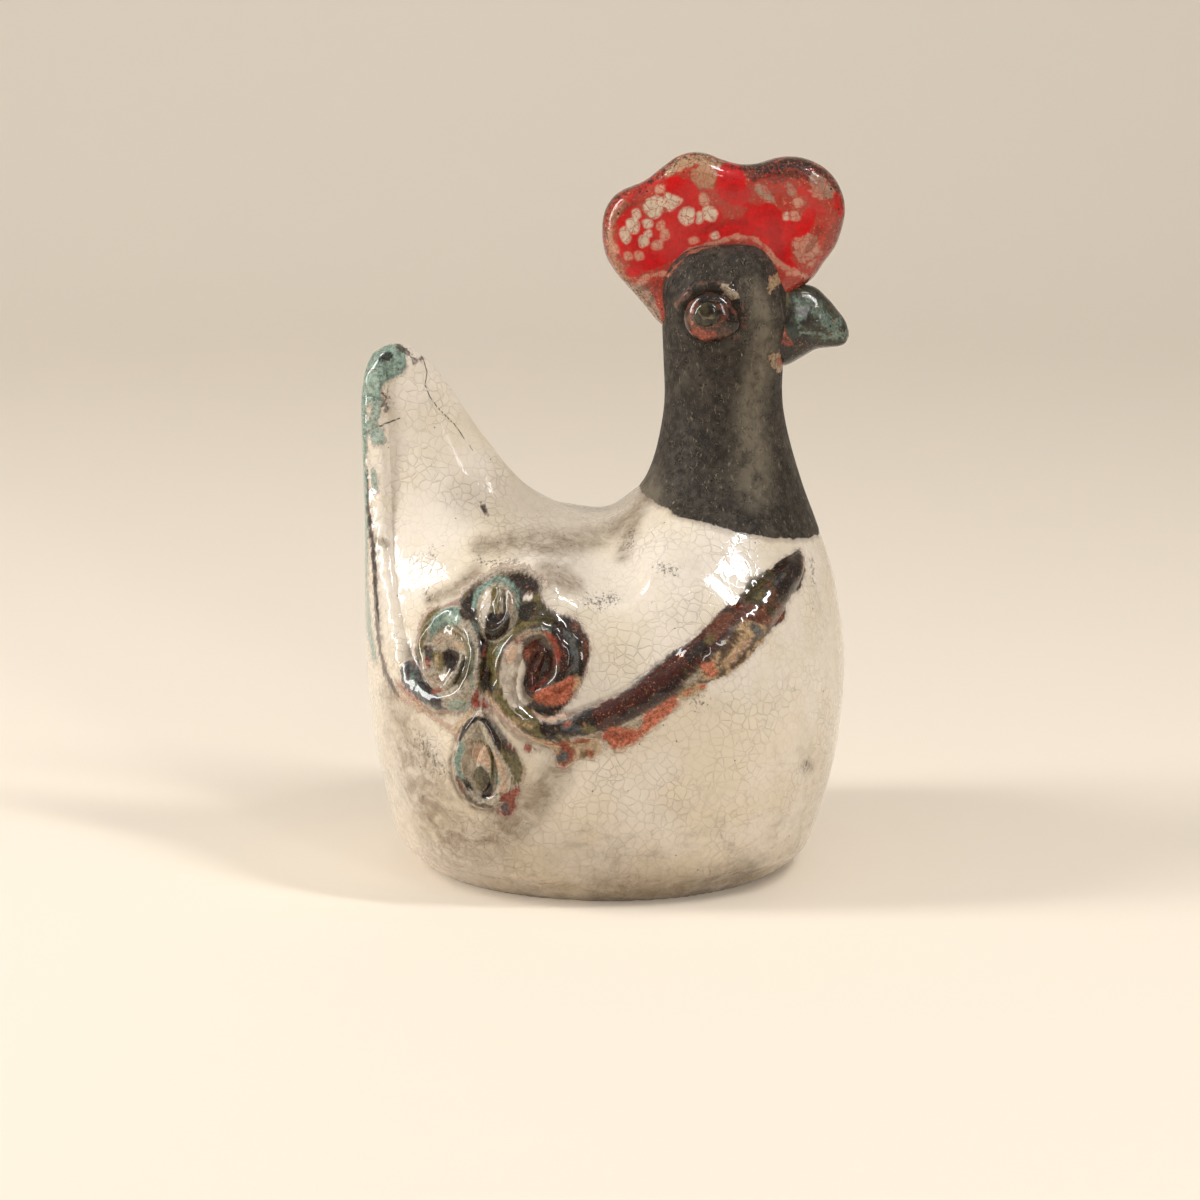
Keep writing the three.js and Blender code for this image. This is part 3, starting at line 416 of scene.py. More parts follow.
    ("crust", 0.8, 1.5, [(523, 765, 1.3), (525, 775, 1.4), (521, 784, 1.3)]),
    ("blush", 0.7, 2, [(494, 752), (500, 758), (506, 772), (508, 786), (502, 796), (498, 790), (500, 774),
     (495, 766)]),
    ("turquoise", 0.6, 3, [(496, 774, 2.4), (499, 782, 2.4)]),
    ("rust", 0.92, 3, [(500, 796), (508, 792), (514, 787), (521, 784), (520, 793), (515, 800), (518, 808),
     (512, 815), (504, 817), (498, 814), (500, 806)]),
    ("blue_grey", 0.85, 3, [(500, 802), (506, 800), (511, 806), (508, 813), (501, 811)]),
    ("umber", 0.7, 3, [(494, 796, 1.4), (500, 793, 1.2)]),
    ("blush", 0.85, 1.5, [(472, 748), (478, 742), (486, 745), (490, 752), (491, 764), (488, 768),
     (482, 764), (476, 762), (472, 757)]),
    ("olive", 0.97, 0.8, [(474, 743, 1), (481, 741, 1.4), (488, 747, 1.7), (492, 757, 1.7), (493, 770, 1.7),
     (493, 784, 1.4)]),
    ("dark_olive", 0.93, 1.5, [(473, 771), (478, 765), (484, 767), (489, 776), (490, 786), (484, 793),
     (478, 789), (475, 780)]),
    ("olive", 0.8, 2, [(478, 778, 2), (480, 786, 2)]),
    ("near_black", 0.98, 0.8, [(462, 778), (468, 780), (471, 786), (473, 791), (467, 789), (463, 784)]),
    ("near_black", 0.96, 1, [(485, 786), (490, 781), (494, 788), (492, 796), (484, 800), (480, 797),
     (484, 792)]),
    ("turquoise", 0.95, 2, [(358, 404), (358, 385), (362, 366), (370, 353), (384, 345), (399, 344),
     (406, 352), (407, 364), (402, 375), (392, 379), (383, 384), (381, 392), (380, 402)]),
    ("turquoise_pale", 0.8, 2, [(369, 372), (378, 371), (380, 384), (378, 394), (369, 394), (366, 384)]),
    ("turquoise", 0.95, 1.2, [(362, 400, 5), (362, 430, 6), (363, 460, 3.4), (364, 500, 3), (366, 530, 2.4),
     (365, 580, 2.6), (369, 630, 2.8), (375, 660, 2.6)]),
    ("turquoise", 0.8, 4, [(370, 400), (381, 398), (381, 412), (379, 424), (386, 436), (386, 443),
     (376, 448), (370, 440), (367, 420)]),
    ("turquoise", 0.8, 2, [(371, 468), (375, 467), (378, 480), (379, 490), (374, 495), (371, 485)]),
    ("near_black", 0.85, 4, [(387, 350), (394, 350), (389, 359), (380, 363), (378, 358)]),
    ("near_black", 0.7, 5, [(384, 400, 2.4), (386, 410, 2.6)]),
    ("near_black", 0.6, 4, [(366, 508, 2), (370, 520, 2.4)]),
    ("umber", 0.75, 4, [(398, 347, 1.6), (410, 356, 2.4), (416, 360, 2.4), (422, 358, 1.4)]),
    ("soot", 0.95, 2, [(480, 504), (484, 503), (487, 509), (490, 514), (485, 516), (481, 511)]),
    ("blush", 0.22, 8, [(500, 518, 14)]),
    ("near_black", 0.95, 0.5, [(673, 777, 1.2)]),
    ("blush_grey", 0.8, 5, [(721, 286), (730, 282), (739, 290), (739, 299), (730, 301), (722, 295)]),
    ("shell_grey", 0.42, 7, [(676, 306, 2.4), (682, 298, 3), (690, 290, 2.6), (700, 285, 2), (712, 282, 2),
     (722, 284, 2)]),
    ("blush_grey", 0.42, 6, [(742, 300, 2.4), (744, 312, 3), (743, 326, 2.4), (736, 338, 1.6)]),
    ("crust", 0.6, 5, [(768, 354), (780, 350), (790, 356), (793, 363), (784, 371), (774, 371), (767, 363)]),
    ("rust", 0.7, 4, [(780, 362, 4)]),
    ("crust", 0.6, 5, [(771, 290, 4), (776, 280, 6), (788, 274, 7), (800, 274, 6)]),
    ("comb_pink", 0.5, 4, [(640, 284, 2.4), (652, 276, 2.4), (668, 275, 2), (680, 262, 1.8),
     (690, 252, 1.8), (712, 245, 1.6), (734, 239, 1.6), (752, 240, 1.6), (766, 250, 1.8), (776, 264, 2.2)]),
]
COMB_GLAZES = [
    ("red_pale", 0.85, 4, [(614, 268), (608, 240), (610, 215), (622, 200), (645, 190), (664, 176),
     (676, 168), (690, 182), (700, 182), (718, 178), (724, 164), (742, 166), (770, 166), (812, 170),
     (834, 190), (840, 208), (836, 226), (824, 250), (812, 270), (790, 272), (760, 262), (700, 250),
     (660, 272), (640, 282), (622, 280)]),
    ("crust", 0.55, 5, [(624, 280, 5), (614, 262, 4), (610, 240, 4), (612, 218, 4), (624, 202, 3)]),
    ("crust", 0.85, 5, [(668, 172, 5), (682, 164, 6), (700, 158, 6), (718, 164, 4)]),
    ("crust", 0.75, 5, [(692, 172), (700, 162), (716, 168), (718, 180), (708, 188), (700, 190),
     (692, 180)]),
    ("umber", 0.75, 5, [(610, 286, 2.4), (602, 262, 2.2), (599, 238, 2), (602, 214, 2), (614, 196, 2.4),
     (636, 180, 2.4), (656, 166, 2)]),
    ("rust", 0.8, 8, [(735, 161, 5), (760, 164, 8), (790, 160, 9), (815, 168, 8), (832, 184, 6),
     (842, 205, 5), (838, 225, 5), (826, 248, 4)]),
    ("umber", 0.8, 8, [(736, 166, 4), (752, 172, 8), (778, 174, 9), (800, 170, 8), (818, 182, 6),
     (830, 196, 4)]),
    ("near_black", 0.8, 9, [(734, 159, 3), (752, 164, 6), (778, 166, 7), (802, 162, 6), (822, 172, 4),
     (838, 190, 3)]),
    ("umber", 0.5, 6, [(640, 192, 4), (626, 204, 4), (616, 220, 3)]),
    ("red", 0.97, 3, [(665, 188), (668, 176), (680, 176), (693, 182), (700, 190), (702, 203), (690, 209),
     (681, 202), (674, 198), (666, 194)]),
    ("red", 0.97, 4, [(716, 178), (720, 168), (732, 160), (743, 168), (746, 182), (751, 194), (748, 208),
     (734, 206), (722, 201), (716, 190)]),
    ("red_deep", 0.6, 3, [(726, 186), (736, 183), (740, 194), (734, 201), (725, 196)]),
    ("red", 0.85, 3, [(618, 232), (616, 222), (624, 212), (632, 206), (642, 210), (650, 220), (664, 214),
     (672, 206), (682, 200), (700, 205), (720, 208), (724, 222), (700, 232), (684, 230), (676, 246),
     (660, 250), (640, 266), (624, 262), (617, 250)]),
    ("red", 1, 3, [(626, 270), (640, 256), (655, 252), (665, 247), (674, 236), (684, 229), (700, 232),
     (716, 228), (730, 222), (744, 214), (748, 202), (757, 206), (770, 202), (781, 208), (788, 219),
     (800, 218), (808, 206), (817, 212), (814, 228), (800, 239), (790, 240), (792, 256), (799, 271),
     (790, 271), (777, 266), (771, 256), (764, 244), (750, 238), (732, 238), (712, 242), (694, 248),
     (680, 258), (664, 266), (648, 270), (636, 276), (626, 276)]),
    ("red", 0.85, 6, [(750, 222, 6), (764, 232, 7), (776, 248, 7), (788, 264, 5)]),
    ("red_deep", 0.7, 3, [(700, 232, 3), (728, 222, 4), (745, 222, 3)]),
    ("red_deep", 0.75, 4, [(772, 214, 4), (776, 236, 6), (780, 256, 6)]),
    ("red", 0.75, 5, [(836, 196, 4), (841, 212, 4)]),
    ("red", 0.6, 5, [(800, 190, 4), (812, 196, 4), (822, 214, 4)]),
    ("red", 0.55, 5, [(628, 198, 3), (648, 184, 3), (664, 182, 3)]),
    ("comb_cream", 0.95, 2, [(642, 206), (647, 199), (655, 195), (664, 197), (664, 208), (657, 219),
     (648, 217)]),
    ("comb_cream", 0.95, 2, [(665, 191), (676, 196), (684, 200), (676, 208), (668, 212), (663, 204)]),
    ("comb_cream", 0.95, 1.5, [(678, 212), (686, 206), (695, 209), (694, 222), (686, 226), (679, 221)]),
    ("comb_cream", 0.9, 1.5, [(696, 213), (702, 211), (704, 222), (697, 225)]),
    ("comb_cream", 0.95, 1.5, [(702, 207), (712, 205), (718, 213), (714, 222), (704, 219)]),
    ("comb_pink", 0.9, 1.5, [(699, 194), (707, 192), (710, 205), (700, 207)]),
    ("comb_cream", 0.9, 1.2, [(631, 211), (638, 208), (642, 216), (634, 221)]),
    ("comb_cream", 0.95, 1.2, [(626, 220), (636, 217), (641, 226), (635, 235), (627, 231)]),
    ("comb_cream", 0.95, 1.2, [(641, 220), (650, 218), (654, 226), (645, 230)]),
    ("comb_cream", 0.9, 1.2, [(620, 228), (627, 226), (632, 240), (625, 245), (619, 236)]),
    ("comb_cream", 0.9, 1.2, [(639, 237), (647, 234), (650, 244), (640, 249)]),
    ("comb_cream", 0.9, 1.2, [(644, 232), (650, 229), (653, 236), (646, 238)]),
    ("comb_pink", 0.9, 1.2, [(652, 241), (663, 241), (662, 250), (651, 250)]),
    ("comb_pink", 0.9, 1.2, [(623, 253), (630, 251), (633, 259), (625, 261)]),
    ("comb_pink", 0.9, 1.2, [(634, 251), (642, 251), (645, 259), (636, 262)]),
    ("comb_cream", 0.85, 1.2, [(710, 233), (718, 231), (720, 239), (712, 240)]),
    ("comb_pink", 0.85, 1.2, [(655, 186), (664, 184), (665, 193), (656, 193)]),
    ("comb_pink", 0.85, 1.5, [(660, 232), (668, 228), (670, 239), (661, 242)]),
    ("comb_pink", 0.8, 1.5, [(656, 223), (664, 219), (665, 229), (657, 231)]),
    ("comb_pink", 0.8, 1.2, [(612, 246), (618, 244), (620, 254), (613, 254)]),
    ("blush_grey", 0.85, 2, [(755, 183), (765, 185), (773, 196), (777, 204), (766, 201), (757, 193)]),
    ("blush_grey", 0.7, 2, [(786, 180), (794, 186), (798, 198), (787, 193)]),
    ("comb_pink", 0.85, 1.8, [(791, 211), (799, 210), (800, 220), (791, 221)]),
    ("comb_pink", 0.85, 1.8, [(792, 199), (802, 198), (804, 207), (794, 209)]),
    ("comb_cream", 0.8, 1, [(783, 212), (789, 212), (789, 220), (783, 220)]),
    ("comb_pink", 0.8, 1.5, [(688, 239), (698, 236), (700, 243), (690, 245)]),
    ("blush", 0.6, 7, [(796, 238), (815, 234), (823, 250), (812, 264), (800, 264), (793, 250)]),
    ("blush", 0.5, 7, [(808, 178), (820, 173), (830, 182), (836, 196), (826, 200), (812, 196)]),
    ("umber", 0.5, 6, [(806, 250, 3), (814, 240, 3), (818, 226, 3)]),
    ("comb_pink", 0.75, 3, [(640, 282, 3), (652, 275, 3), (668, 273, 2.6), (680, 260, 2.4), (690, 250, 2.4),
     (712, 243, 2), (734, 237, 2), (752, 238, 2), (766, 248, 2.2), (776, 262, 2.6), (790, 271, 3),
     (805, 276, 3)]),
    ("shell_grey", 0.8, 5, [(628, 286, 5), (644, 296, 7), (656, 316, 7)]),
    ("umber", 0.6, 5, [(634, 292, 2), (648, 288, 2.4), (658, 280, 2), (650, 304, 2)]),
]
BEAK_GLAZES = [
    ("bottle", 0.6, 5, [(782, 286), (812, 286), (826, 298), (842, 316), (848, 334), (836, 346), (812, 342),
     (796, 326), (784, 318)]),
    ("turquoise", 0.45, 11, [(800, 303, 4), (815, 311, 5.5), (829, 323, 6.5), (840, 334, 6)]),
    ("turquoise", 0.42, 8, [(794, 300, 3), (800, 318, 3.4), (798, 328, 3)]),
    ("turquoise", 0.6, 6, [(800, 333, 1.6), (818, 334, 2), (836, 338, 2.4)]),
    ("near_black", 0.8, 5, [(802, 322, 2.4), (814, 328, 3.4), (824, 330, 2)]),
    ("near_black", 0.8, 5, [(790, 300, 2.6), (792, 312, 3), (806, 312, 3), (812, 320, 2.6)]),
    ("near_black", 0.8, 4, [(812, 284, 3), (818, 294, 3), (830, 303, 2.6)]),
    ("turquoise", 0.6, 3, [(801, 318, 2.2)]),
    ("near_black", 0.97, 3, [(774, 312), (786, 308), (790, 322), (784, 328), (775, 328)]),
    ("near_black", 0.98, 3, [(776, 342), (800, 338), (812, 342), (836, 347), (820, 352), (800, 356),
     (788, 360), (776, 352)]),
    ("olive", 0.6, 4, [(786, 292, 3), (788, 304, 2.4)]),
    ("blush_grey", 0.7, 6, [(768, 296, 5), (778, 284, 6), (790, 278, 6)]),
    ("rust", 0.95, 3.5, [(772, 329), (780, 324), (788, 327), (787, 336), (795, 343), (788, 348), (778, 341),
     (773, 336)]),
    ("coral", 0.7, 3, [(780, 326, 2), (784, 334, 2)]),
    ("red", 0.6, 3, [(775, 330, 2), (777, 338, 2)]),
    ("near_black", 0.8, 2, [(779, 336, 1), (786, 339, 1.2)]),
    ("rust", 0.7, 4, [(776, 358, 3.4), (782, 364, 3)]),
]
EYE_GLAZES = [
    ("brown", 0.75, 4, [(690, 318), (700, 312), (712, 322), (724, 318), (733, 326), (722, 336), (706, 342),
     (692, 334)]),
    ("rust", 0.85, 4, [(689, 322), (696, 328), (704, 332), (716, 330), (714, 338), (704, 341), (693, 334)]),
    ("coral", 0.45, 4, [(700, 336, 1.6), (708, 337, 1.6)]),
    ("copper", 0.6, 4, [(698, 316, 1.2), (706, 322, 1.2), (718, 316, 1.2)]),
    ("copper", 0.6, 4, [(693, 310, 1), (692, 322, 1)]),
    ("near_black", 0.95, 2, [(727, 320), (733, 311), (741, 327), (738, 331), (724, 328)]),
    ("near_black", 0.9, 2, [(702, 300), (714, 292), (728, 300), (722, 304), (708, 303)]),
    ("near_black", 0.7, 3, [(718, 330, 1.4), (728, 322, 2)]),
]
PUPIL_GLAZES = [
    ("dark_olive", 0.5, 2, [(697, 308, 3), (704, 317, 3), (714, 316, 3)]),
    ("blush_grey", 0.3, 2, [(698, 312, 1.2), (704, 319, 1.2), (713, 317, 1.2)]),
]

# Strokes where smoke and soot mark the ware, where its glaze is matt, where painted shade darkens it (painted
# light on the bare neck), and where it has long cracks, on the same drawing
STAINS = {
    "smoke": [
        [(480, 546, 9), (520, 543, 12), (560, 543, 12), (600, 537, 10), (628, 520, 9), (645, 500, 8)],
        [(640, 505, 6), (630, 530, 8), (622, 556, 7)],
        [(475, 572, 8), (455, 590, 7), (430, 600, 6)],
        [(388, 690, 8), (400, 720, 16), (415, 760, 22), (430, 800, 26), (455, 845, 24)],
        [(480, 840, 26), (520, 815, 20), (545, 790, 16), (560, 770, 14)],
        [(600, 892, 16), (650, 893, 16), (700, 888, 14), (748, 872, 14)],
        [(808, 766, 6)],
        [(376, 540, 4), (386, 545, 4)],
        [(550, 575, 16), (575, 585, 8)],
    ],
    "soot": [
        [(588, 600, 10), (602, 602, 15), (614, 598, 10)],
        [(662, 568, 11), (674, 572, 8)],
        [(628, 545, 9), (632, 530, 6)],
        [(480, 560, 8), (498, 566, 11), (514, 562, 8)],
        [(481, 505, 5), (486, 512, 4.5)],
        [(384, 540, 4)],
        [(430, 552, 7), (434, 558, 5)],
        [(425, 588, 6), (430, 600, 5)],
        [(385, 392, 10), (387, 408, 7)],
        [(555, 742, 9), (590, 750, 8)],
        [(440, 770, 12), (420, 740, 10)],
        [(700, 700, 14)],
        [(806, 770, 7), (808, 760, 5)],
        [(812, 560, 4), (813, 585, 3)],
    ],
    "matte": [
        [(408, 352, 16), (436, 396, 17), (474, 450, 17), (520, 496, 16)],
    ],
    # painted shade: the saddle and the low body are darker where less light falls; on the bare neck these
    # strokes paint light
    "shade": [
        [(470, 500, 22), (560, 512, 34), (640, 492, 24)],
        [(500, 870, 40), (600, 880, 40), (680, 890, 30)],
        [(750, 284, 9), (762, 310, 11), (764, 345, 12), (750, 400, 13), (752, 450, 17), (756, 490, 17)],
    ],
    "crack": [
        [(361, 396, 2.6), (374, 397, 2.4), (386, 396, 1.8)],
        [(362, 436, 2.8), (372, 430, 2.4), (385, 424, 2.2), (400, 418, 1.4)],
        [(423, 358, 0.8), (427, 372, 1.1), (425, 385, 1.2), (430, 397, 1.2), (438, 408, 1.3), (455, 425, 1.3),
         (473, 451, 1)],
        [(365, 371, 1.8), (377, 370, 2), (380, 380, 2), (381, 392, 2), (386, 397, 2.2)],
    ],
}


# Shape of the clay

def follow(rows, along):
    """The rows' values at each place along them, on a smooth curve through the rows."""
    rows = np.asarray(rows, float)
    along = np.asarray(along, float)
    padded = np.concatenate([[2 * rows[0] - rows[1]], rows, [2 * rows[-1] - rows[-2]]])
    start = np.clip(np.floor(along).astype(int), 0, len(rows) - 2)
    w = (along - start)[..., None]
    before, here, there, after = (padded[start + k] for k in range(4))
    slope, next_slope = (there - before) / 2, (after - here) / 2
    return (here + slope * w + (3 * (there - here) - 2 * slope - next_slope) * w**2
            + (2 * (here - there) + slope + next_slope) * w**3)


def ease(value, low, high):
    """0 below low, 1 above high, and smooth between them."""
    x = np.clip((value - low) / (high - low), 0, 1)
    return x * x * (3 - 2 * x)


def skin(along, across, side):
    """Points of the outer skin. Side is -1 on the right flank and 1 on the left."""
    rows = follow(STATIONS, along)
    crest_x, crest_z, outer_x, outer_z, half, pinch, full = np.moveaxis(rows, -1, 0)
    tip = np.clip(along, 0, 1)
    crown = np.clip(22 - along, 0, 1)
    swell = 1 + 5.5 * np.sqrt(tip) * (1 - tip) ** 1.5 / (1 + 9 * tip)
    swell = swell + 2.5 * np.sqrt(crown) * (1 - crown) ** 1.5 / (1 + 9 * crown)
    reach_x, reach_z = (outer_x - crest_x) / 2 * swell, (outer_z - crest_z) / 2 * swell
    full = np.where(across < 0, full, 2.0)
    belly = np.clip(1 - np.abs(across) ** full, 0, 1) ** (1 / full)
    tuck = 1 - pinch * ease(-across, 0.7, 1)
    y = side * half * swell * belly * tuck
    x = (crest_x + outer_x) / 2 + reach_x * across
    z = (crest_z + outer_z) / 2 + reach_z * across
    return on_foot(np.stack([x, y, z], -1))


def on_foot(points):
    """Draws the lowest part of the skin in to the rounded edge of the foot."""
    x, y, z = points[..., 0] - FOOT["x"], points[..., 1], points[..., 2]
    share = np.hypot(x / FOOT["half_length"], y / FOOT["half_width"])
    limit = np.interp(z / FOOT["height"], FOOT_PROFILE[:, 0], FOOT_PROFILE[:, 1])
    limit = np.where(z > 2.3 * FOOT["height"], 99, limit)
    gap = share - limit
    drawn = share - (gap + np.sqrt(gap**2 + 0.0006)) / 2
    scale = np.where(share > 0.3, drawn / np.maximum(share, 1e-6), 1)
    return np.stack([x * scale + FOOT["x"], y * scale, z], -1)


def skin_round(along, turn):
    """Points of the outer skin on both flanks, from each one's turn about the line from pole to pole."""
    return skin(along, np.cos(turn), np.sign(np.round(np.sin(turn), 6)))


def skin_frame(along, across, side):
    """Points of the skin with their two directions along it and the direction outwards."""
    step = 1e-3
    point = skin(along, across, side)
    down = (skin(along + step, across, side) - skin(along - step, across, side)) / (2 * step)
    out = (skin(along, across + step, side) - skin(along, across - step, side)) / (2 * step)
    normal = np.cross(down, out)
    normal /= np.linalg.norm(normal, axis=-1, keepdims=True)
    normal *= np.where(normal[..., 1:2] * side < 0, -1, 1)
    return point, down, out, normal


def evenly(rows, step=0.5):
    """A coil's rows, placed evenly along its length on the skin."""
    fine = follow(rows, np.linspace(0, len(rows) - 1, 40 * len(rows)))
    points = skin(fine[:, 0], fine[:, 1], -1)
    length = np.concatenate([[0], np.cumsum(np.linalg.norm(np.diff(points, axis=0), axis=1))])
    marks = np.linspace(0, length[-1], max(8, int(length[-1] / step)))
    return np.stack([np.interp(marks, length, fine[:, k]) for k in range(3)], 1), length[-1]


COILS = {name: evenly(rows) for name, rows in
         (("rear", REAR_SCROLL), ("front", FRONT_SCROLL), ("drop", DROP_RIM))}
NEAR_COILS = KDTree(sum(len(rows) for rows, _ in COILS.values()))
COIL_WIDTHS = []
for rows, _ in COILS.values():
    for point, width in zip(skin(rows[:, 0], rows[:, 1], -1), rows[:, 2]):
        NEAR_COILS.insert(Vector(point), len(COIL_WIDTHS))
        COIL_WIDTHS.append(width)
NEAR_COILS.balance()


def from_coil(points):
    """How far each point lies outside the nearest coil's edge; inside it, the number is below 0."""
    found = (NEAR_COILS.find((x, -abs(y), z)) for x, y, z in points)
    return np.array([distance - COIL_WIDTHS[index] / 2 for _, index, distance in found])


# Hollows pressed between the coils: x, z, reach, depth
DIMPLES = ((-39.6, 68.5, 2.6, 2.2), (-17.2, 66.5, 2.4, 1.4), (-30.5, 66, 2.2, 0.9), (-31.5, 83, 2.0, 0.8))


def hand_marks(points, gap, sizes):
    """How far the skin stands out of its plain shape: marks of the hand, and clay drawn up to the coils."""
    x, y, z = points.T
    wave = np.sin(x / 9.1 + 0.6 * np.sin(z / 7.3)) * np.sin(z / 8.3 + 1.1)
    wave = wave + np.sin(y / 7.7 + x / 17) * np.sin(z / 15 + x / 12)
    marks = sizes.unevenness / MM * (wave * 0.5 - 1) * 0.5
    clear_of_neck = 1 - ease(z + 0.24 * x, 104, 112)
    marks = marks + sizes.drawn_up / MM * np.exp(-np.maximum(gap, 0) / 3.2) * clear_of_neck
    for cx, cz, reach, depth in DIMPLES:
        marks = marks - depth * np.exp(-((x - cx) ** 2 + (z - cz) ** 2) / reach**2)
    close = np.flatnonzero(gap < 3)
    marks[close] += 0.5 * grain(points[close], 2.8, 5.0) * ease(-gap[close], -3, -1)
    return marks


# Making meshes

def ball(rings, sides):
    """A closed ball, and for each of its points the share from pole to pole and the turn about that line."""
    bm = bmesh.new()
    bmesh.ops.create_grid(bm, x_segments=sides, y_segments=rings, size=1)
    seam = [v for v in bm.verts if v.is_boundary]
    for vert in bm.verts:
        turn, fall = vert.co.x * math.pi, (vert.co.y + 1) / 2 * math.pi
        vert.co = (math.sin(fall) * math.cos(turn), math.sin(fall) * math.sin(turn), -math.cos(fall))
    bmesh.ops.remove_doubles(bm, verts=seam, dist=1e-7)
    co = np.array([v.co[:] for v in bm.verts])
    return bm, np.arccos(np.clip(-co[:, 2], -1, 1)) / math.pi, np.arctan2(co[:, 1], co[:, 0])


def move_to(bm, points):
    """Puts the mesh's points at these places, given in millimetres."""
    for vert, point in zip(bm.verts, points):
        vert.co = Vector(point) * MM


def places(bm):
    """The places of a mesh's points, in millimetres."""
    return np.array([v.co[:] for v in bm.verts]) / MM


def push(bm, amounts):
    """Moves each point out along the surface, by millimetres."""
    bm.normal_update()
    for vert, amount in zip(bm.verts, amounts):
        vert.co += vert.normal * (float(amount) * MM)


def keep_normals(bm):
    """Notes the directions of the whole skin, so that the cut pieces shade as one."""
    bm.faces.layers.int.new("cut")
    layer = bm.verts.layers.float_vector.new("skin_normal")
    bm.normal_update()
    for vert in bm.verts:
        vert[layer] = vert.normal


def slice_off(bm, point, outward, close=True):
    """Cuts off what lies beyond a plane across the bird, closes the cut and returns its rim."""
    made = bmesh.ops.bisect_plane(
        bm, geom=bm.verts[:] + bm.edges[:] + bm.faces[:], dist=1e-7, clear_outer=True,
        plane_co=Vector((point[0], 0, point[1])) * MM, plane_no=(outward[0], 0, outward[1]))
    rim = [e for e in made["geom_cut"] if isinstance(e, bmesh.types.BMEdge)]
    if not rim:
        raise RuntimeError("a joint's plane misses the skin")
    if close:
        mark_cut(bm, bmesh.ops.holes_fill(bm, edges=rim, sides=0)["faces"])
    return rim


def mark_cut(bm, faces):
    """Notes these faces as cut faces, which are flat and bare."""
    layer = bm.faces.layers.int["cut"]
    for face in faces:
        face[layer] = 1


def piece_from(bm, name, materials):
    """An object of this mesh, with smooth faces that point outwards."""
    bmesh.ops.recalc_face_normals(bm, faces=bm.faces[:])
    if bm.calc_volume(signed=True) < 0:
        bmesh.ops.reverse_faces(bm, faces=bm.faces[:])
    mesh = bpy.data.meshes.new(name)
    bm.to_mesh(mesh)
    bm.free()
    mesh.polygons.foreach_set("use_smooth", [True] * len(mesh.polygons))
    for material in materials:
        mesh.materials.append(material)
    old = bpy.data.objects.get(name)
    if old:
        bpy.data.objects.remove(old)
    piece = bpy.data.objects.new(name, mesh)
    bpy.context.scene.collection.objects.link(piece)
    return piece


def shade_as_one(piece, bare_material=None):
    """Gives a cut piece the directions of the whole skin, so that its joints don't show."""
    mesh = piece.data
    stored = np.empty(len(mesh.vertices) * 3, np.float32)
    mesh.attributes["skin_normal"].data.foreach_get("vector", stored)
    stored = stored.reshape(-1, 3)
    stored /= np.maximum(np.linalg.norm(stored, axis=1, keepdims=True), 1e-9)
    corner = np.empty(len(mesh.loops), np.int32)
    mesh.loops.foreach_get("vertex_index", corner)
    directions = stored[corner]
    for face, flag in zip(mesh.polygons, mesh.attributes["cut"].data):
        if flag.value:
            directions[face.loop_start:face.loop_start + face.loop_total] = face.normal
            if bare_material is not None:
                face.material_index = bare_material
    mesh.normals_split_custom_set(directions.tolist())
    for name in ("cut", "skin_normal"):
        mesh.attributes.remove(mesh.attributes[name])


def mesh_places(mesh):
    """The places of a finished mesh's points, in millimetres."""
    flat = np.empty(len(mesh.vertices) * 3, np.float32)
    mesh.vertices.foreach_get("co", flat)
    return flat.reshape(-1, 3).astype(float) / MM


def write_field(mesh, name, values):
    """Keeps a number for each point of the mesh, for its material."""
    layer = mesh.attributes.get(name) or mesh.attributes.new(name, "FLOAT", "POINT")
    layer.data.foreach_set("value", np.asarray(values, np.float32))


def on_drawing(points):
    """Where points of the right flank, or mirror images of the left, lie on the drawing: across and down."""
    x, z = points[:, 0] - DRAWING["middle"][0], points[:, 2] - DRAWING["middle"][1]
    y = -np.abs(points[:, 1])
    cos, sin = math.cos(DRAWING["fall"]), math.sin(DRAWING["fall"])
    near = DRAWING["distance"] / (DRAWING["distance"] + y * cos - z * sin)
    scale = DRAWING["width"] / DRAWING["shown"] * near
    return DRAWING["width"] / 2 + scale * x, DRAWING["width"] / 2 - scale * (y * sin + z * cos)


def to_line(u, v, start, end):
    """For each place, the nearest point of a straight line: how far it is, and the share of the way to it."""
    du, dv = end[0] - start[0], end[1] - start[1]
    u, v = u - start[0], v - start[1]
    share = np.clip((u * du + v * dv) / max(du * du + dv * dv, 1e-9), 0, 1)
    return np.hypot(u - share * du, v - share * dv), share


def to_stroke(u, v, stroke):
    """For each place, the nearest point of a stroke's line: how far it is, and the reach there."""
    away, reach = np.full(len(u), 1e3), np.zeros(len(u))
    ends = stroke if len(stroke) > 1 else stroke * 2
    for start, end in zip(ends, ends[1:]):
        here, share = to_line(u, v, start, end)
        width = start[2] + share * (end[2] - start[2])
        nearer = here - width < away - reach
        away, reach = np.where(nearer, here, away), np.where(nearer, width, reach)
    return away, reach


def stroke_field(u, v, strokes):
    """1 on a brush stroke's line, 0.5 at its reach and 0 at twice that."""
    best = np.zeros(len(u))
    for stroke in strokes:
        away, reach = to_stroke(u, v, stroke)
        best = np.maximum(best, 1 - 0.5 * away / np.maximum(reach, 0.1))
    return best


def rounded(corners):
    """A patch's corners, cut off twice so that its edge runs round."""
    ring = np.array(corners, float)
    for _ in range(2):
        after = np.roll(ring, -1, axis=0)
        ring = np.stack([ring * 0.78 + after * 0.22, ring * 0.22 + after * 0.78], 1).reshape(-1, 2)
    return ring.tolist()


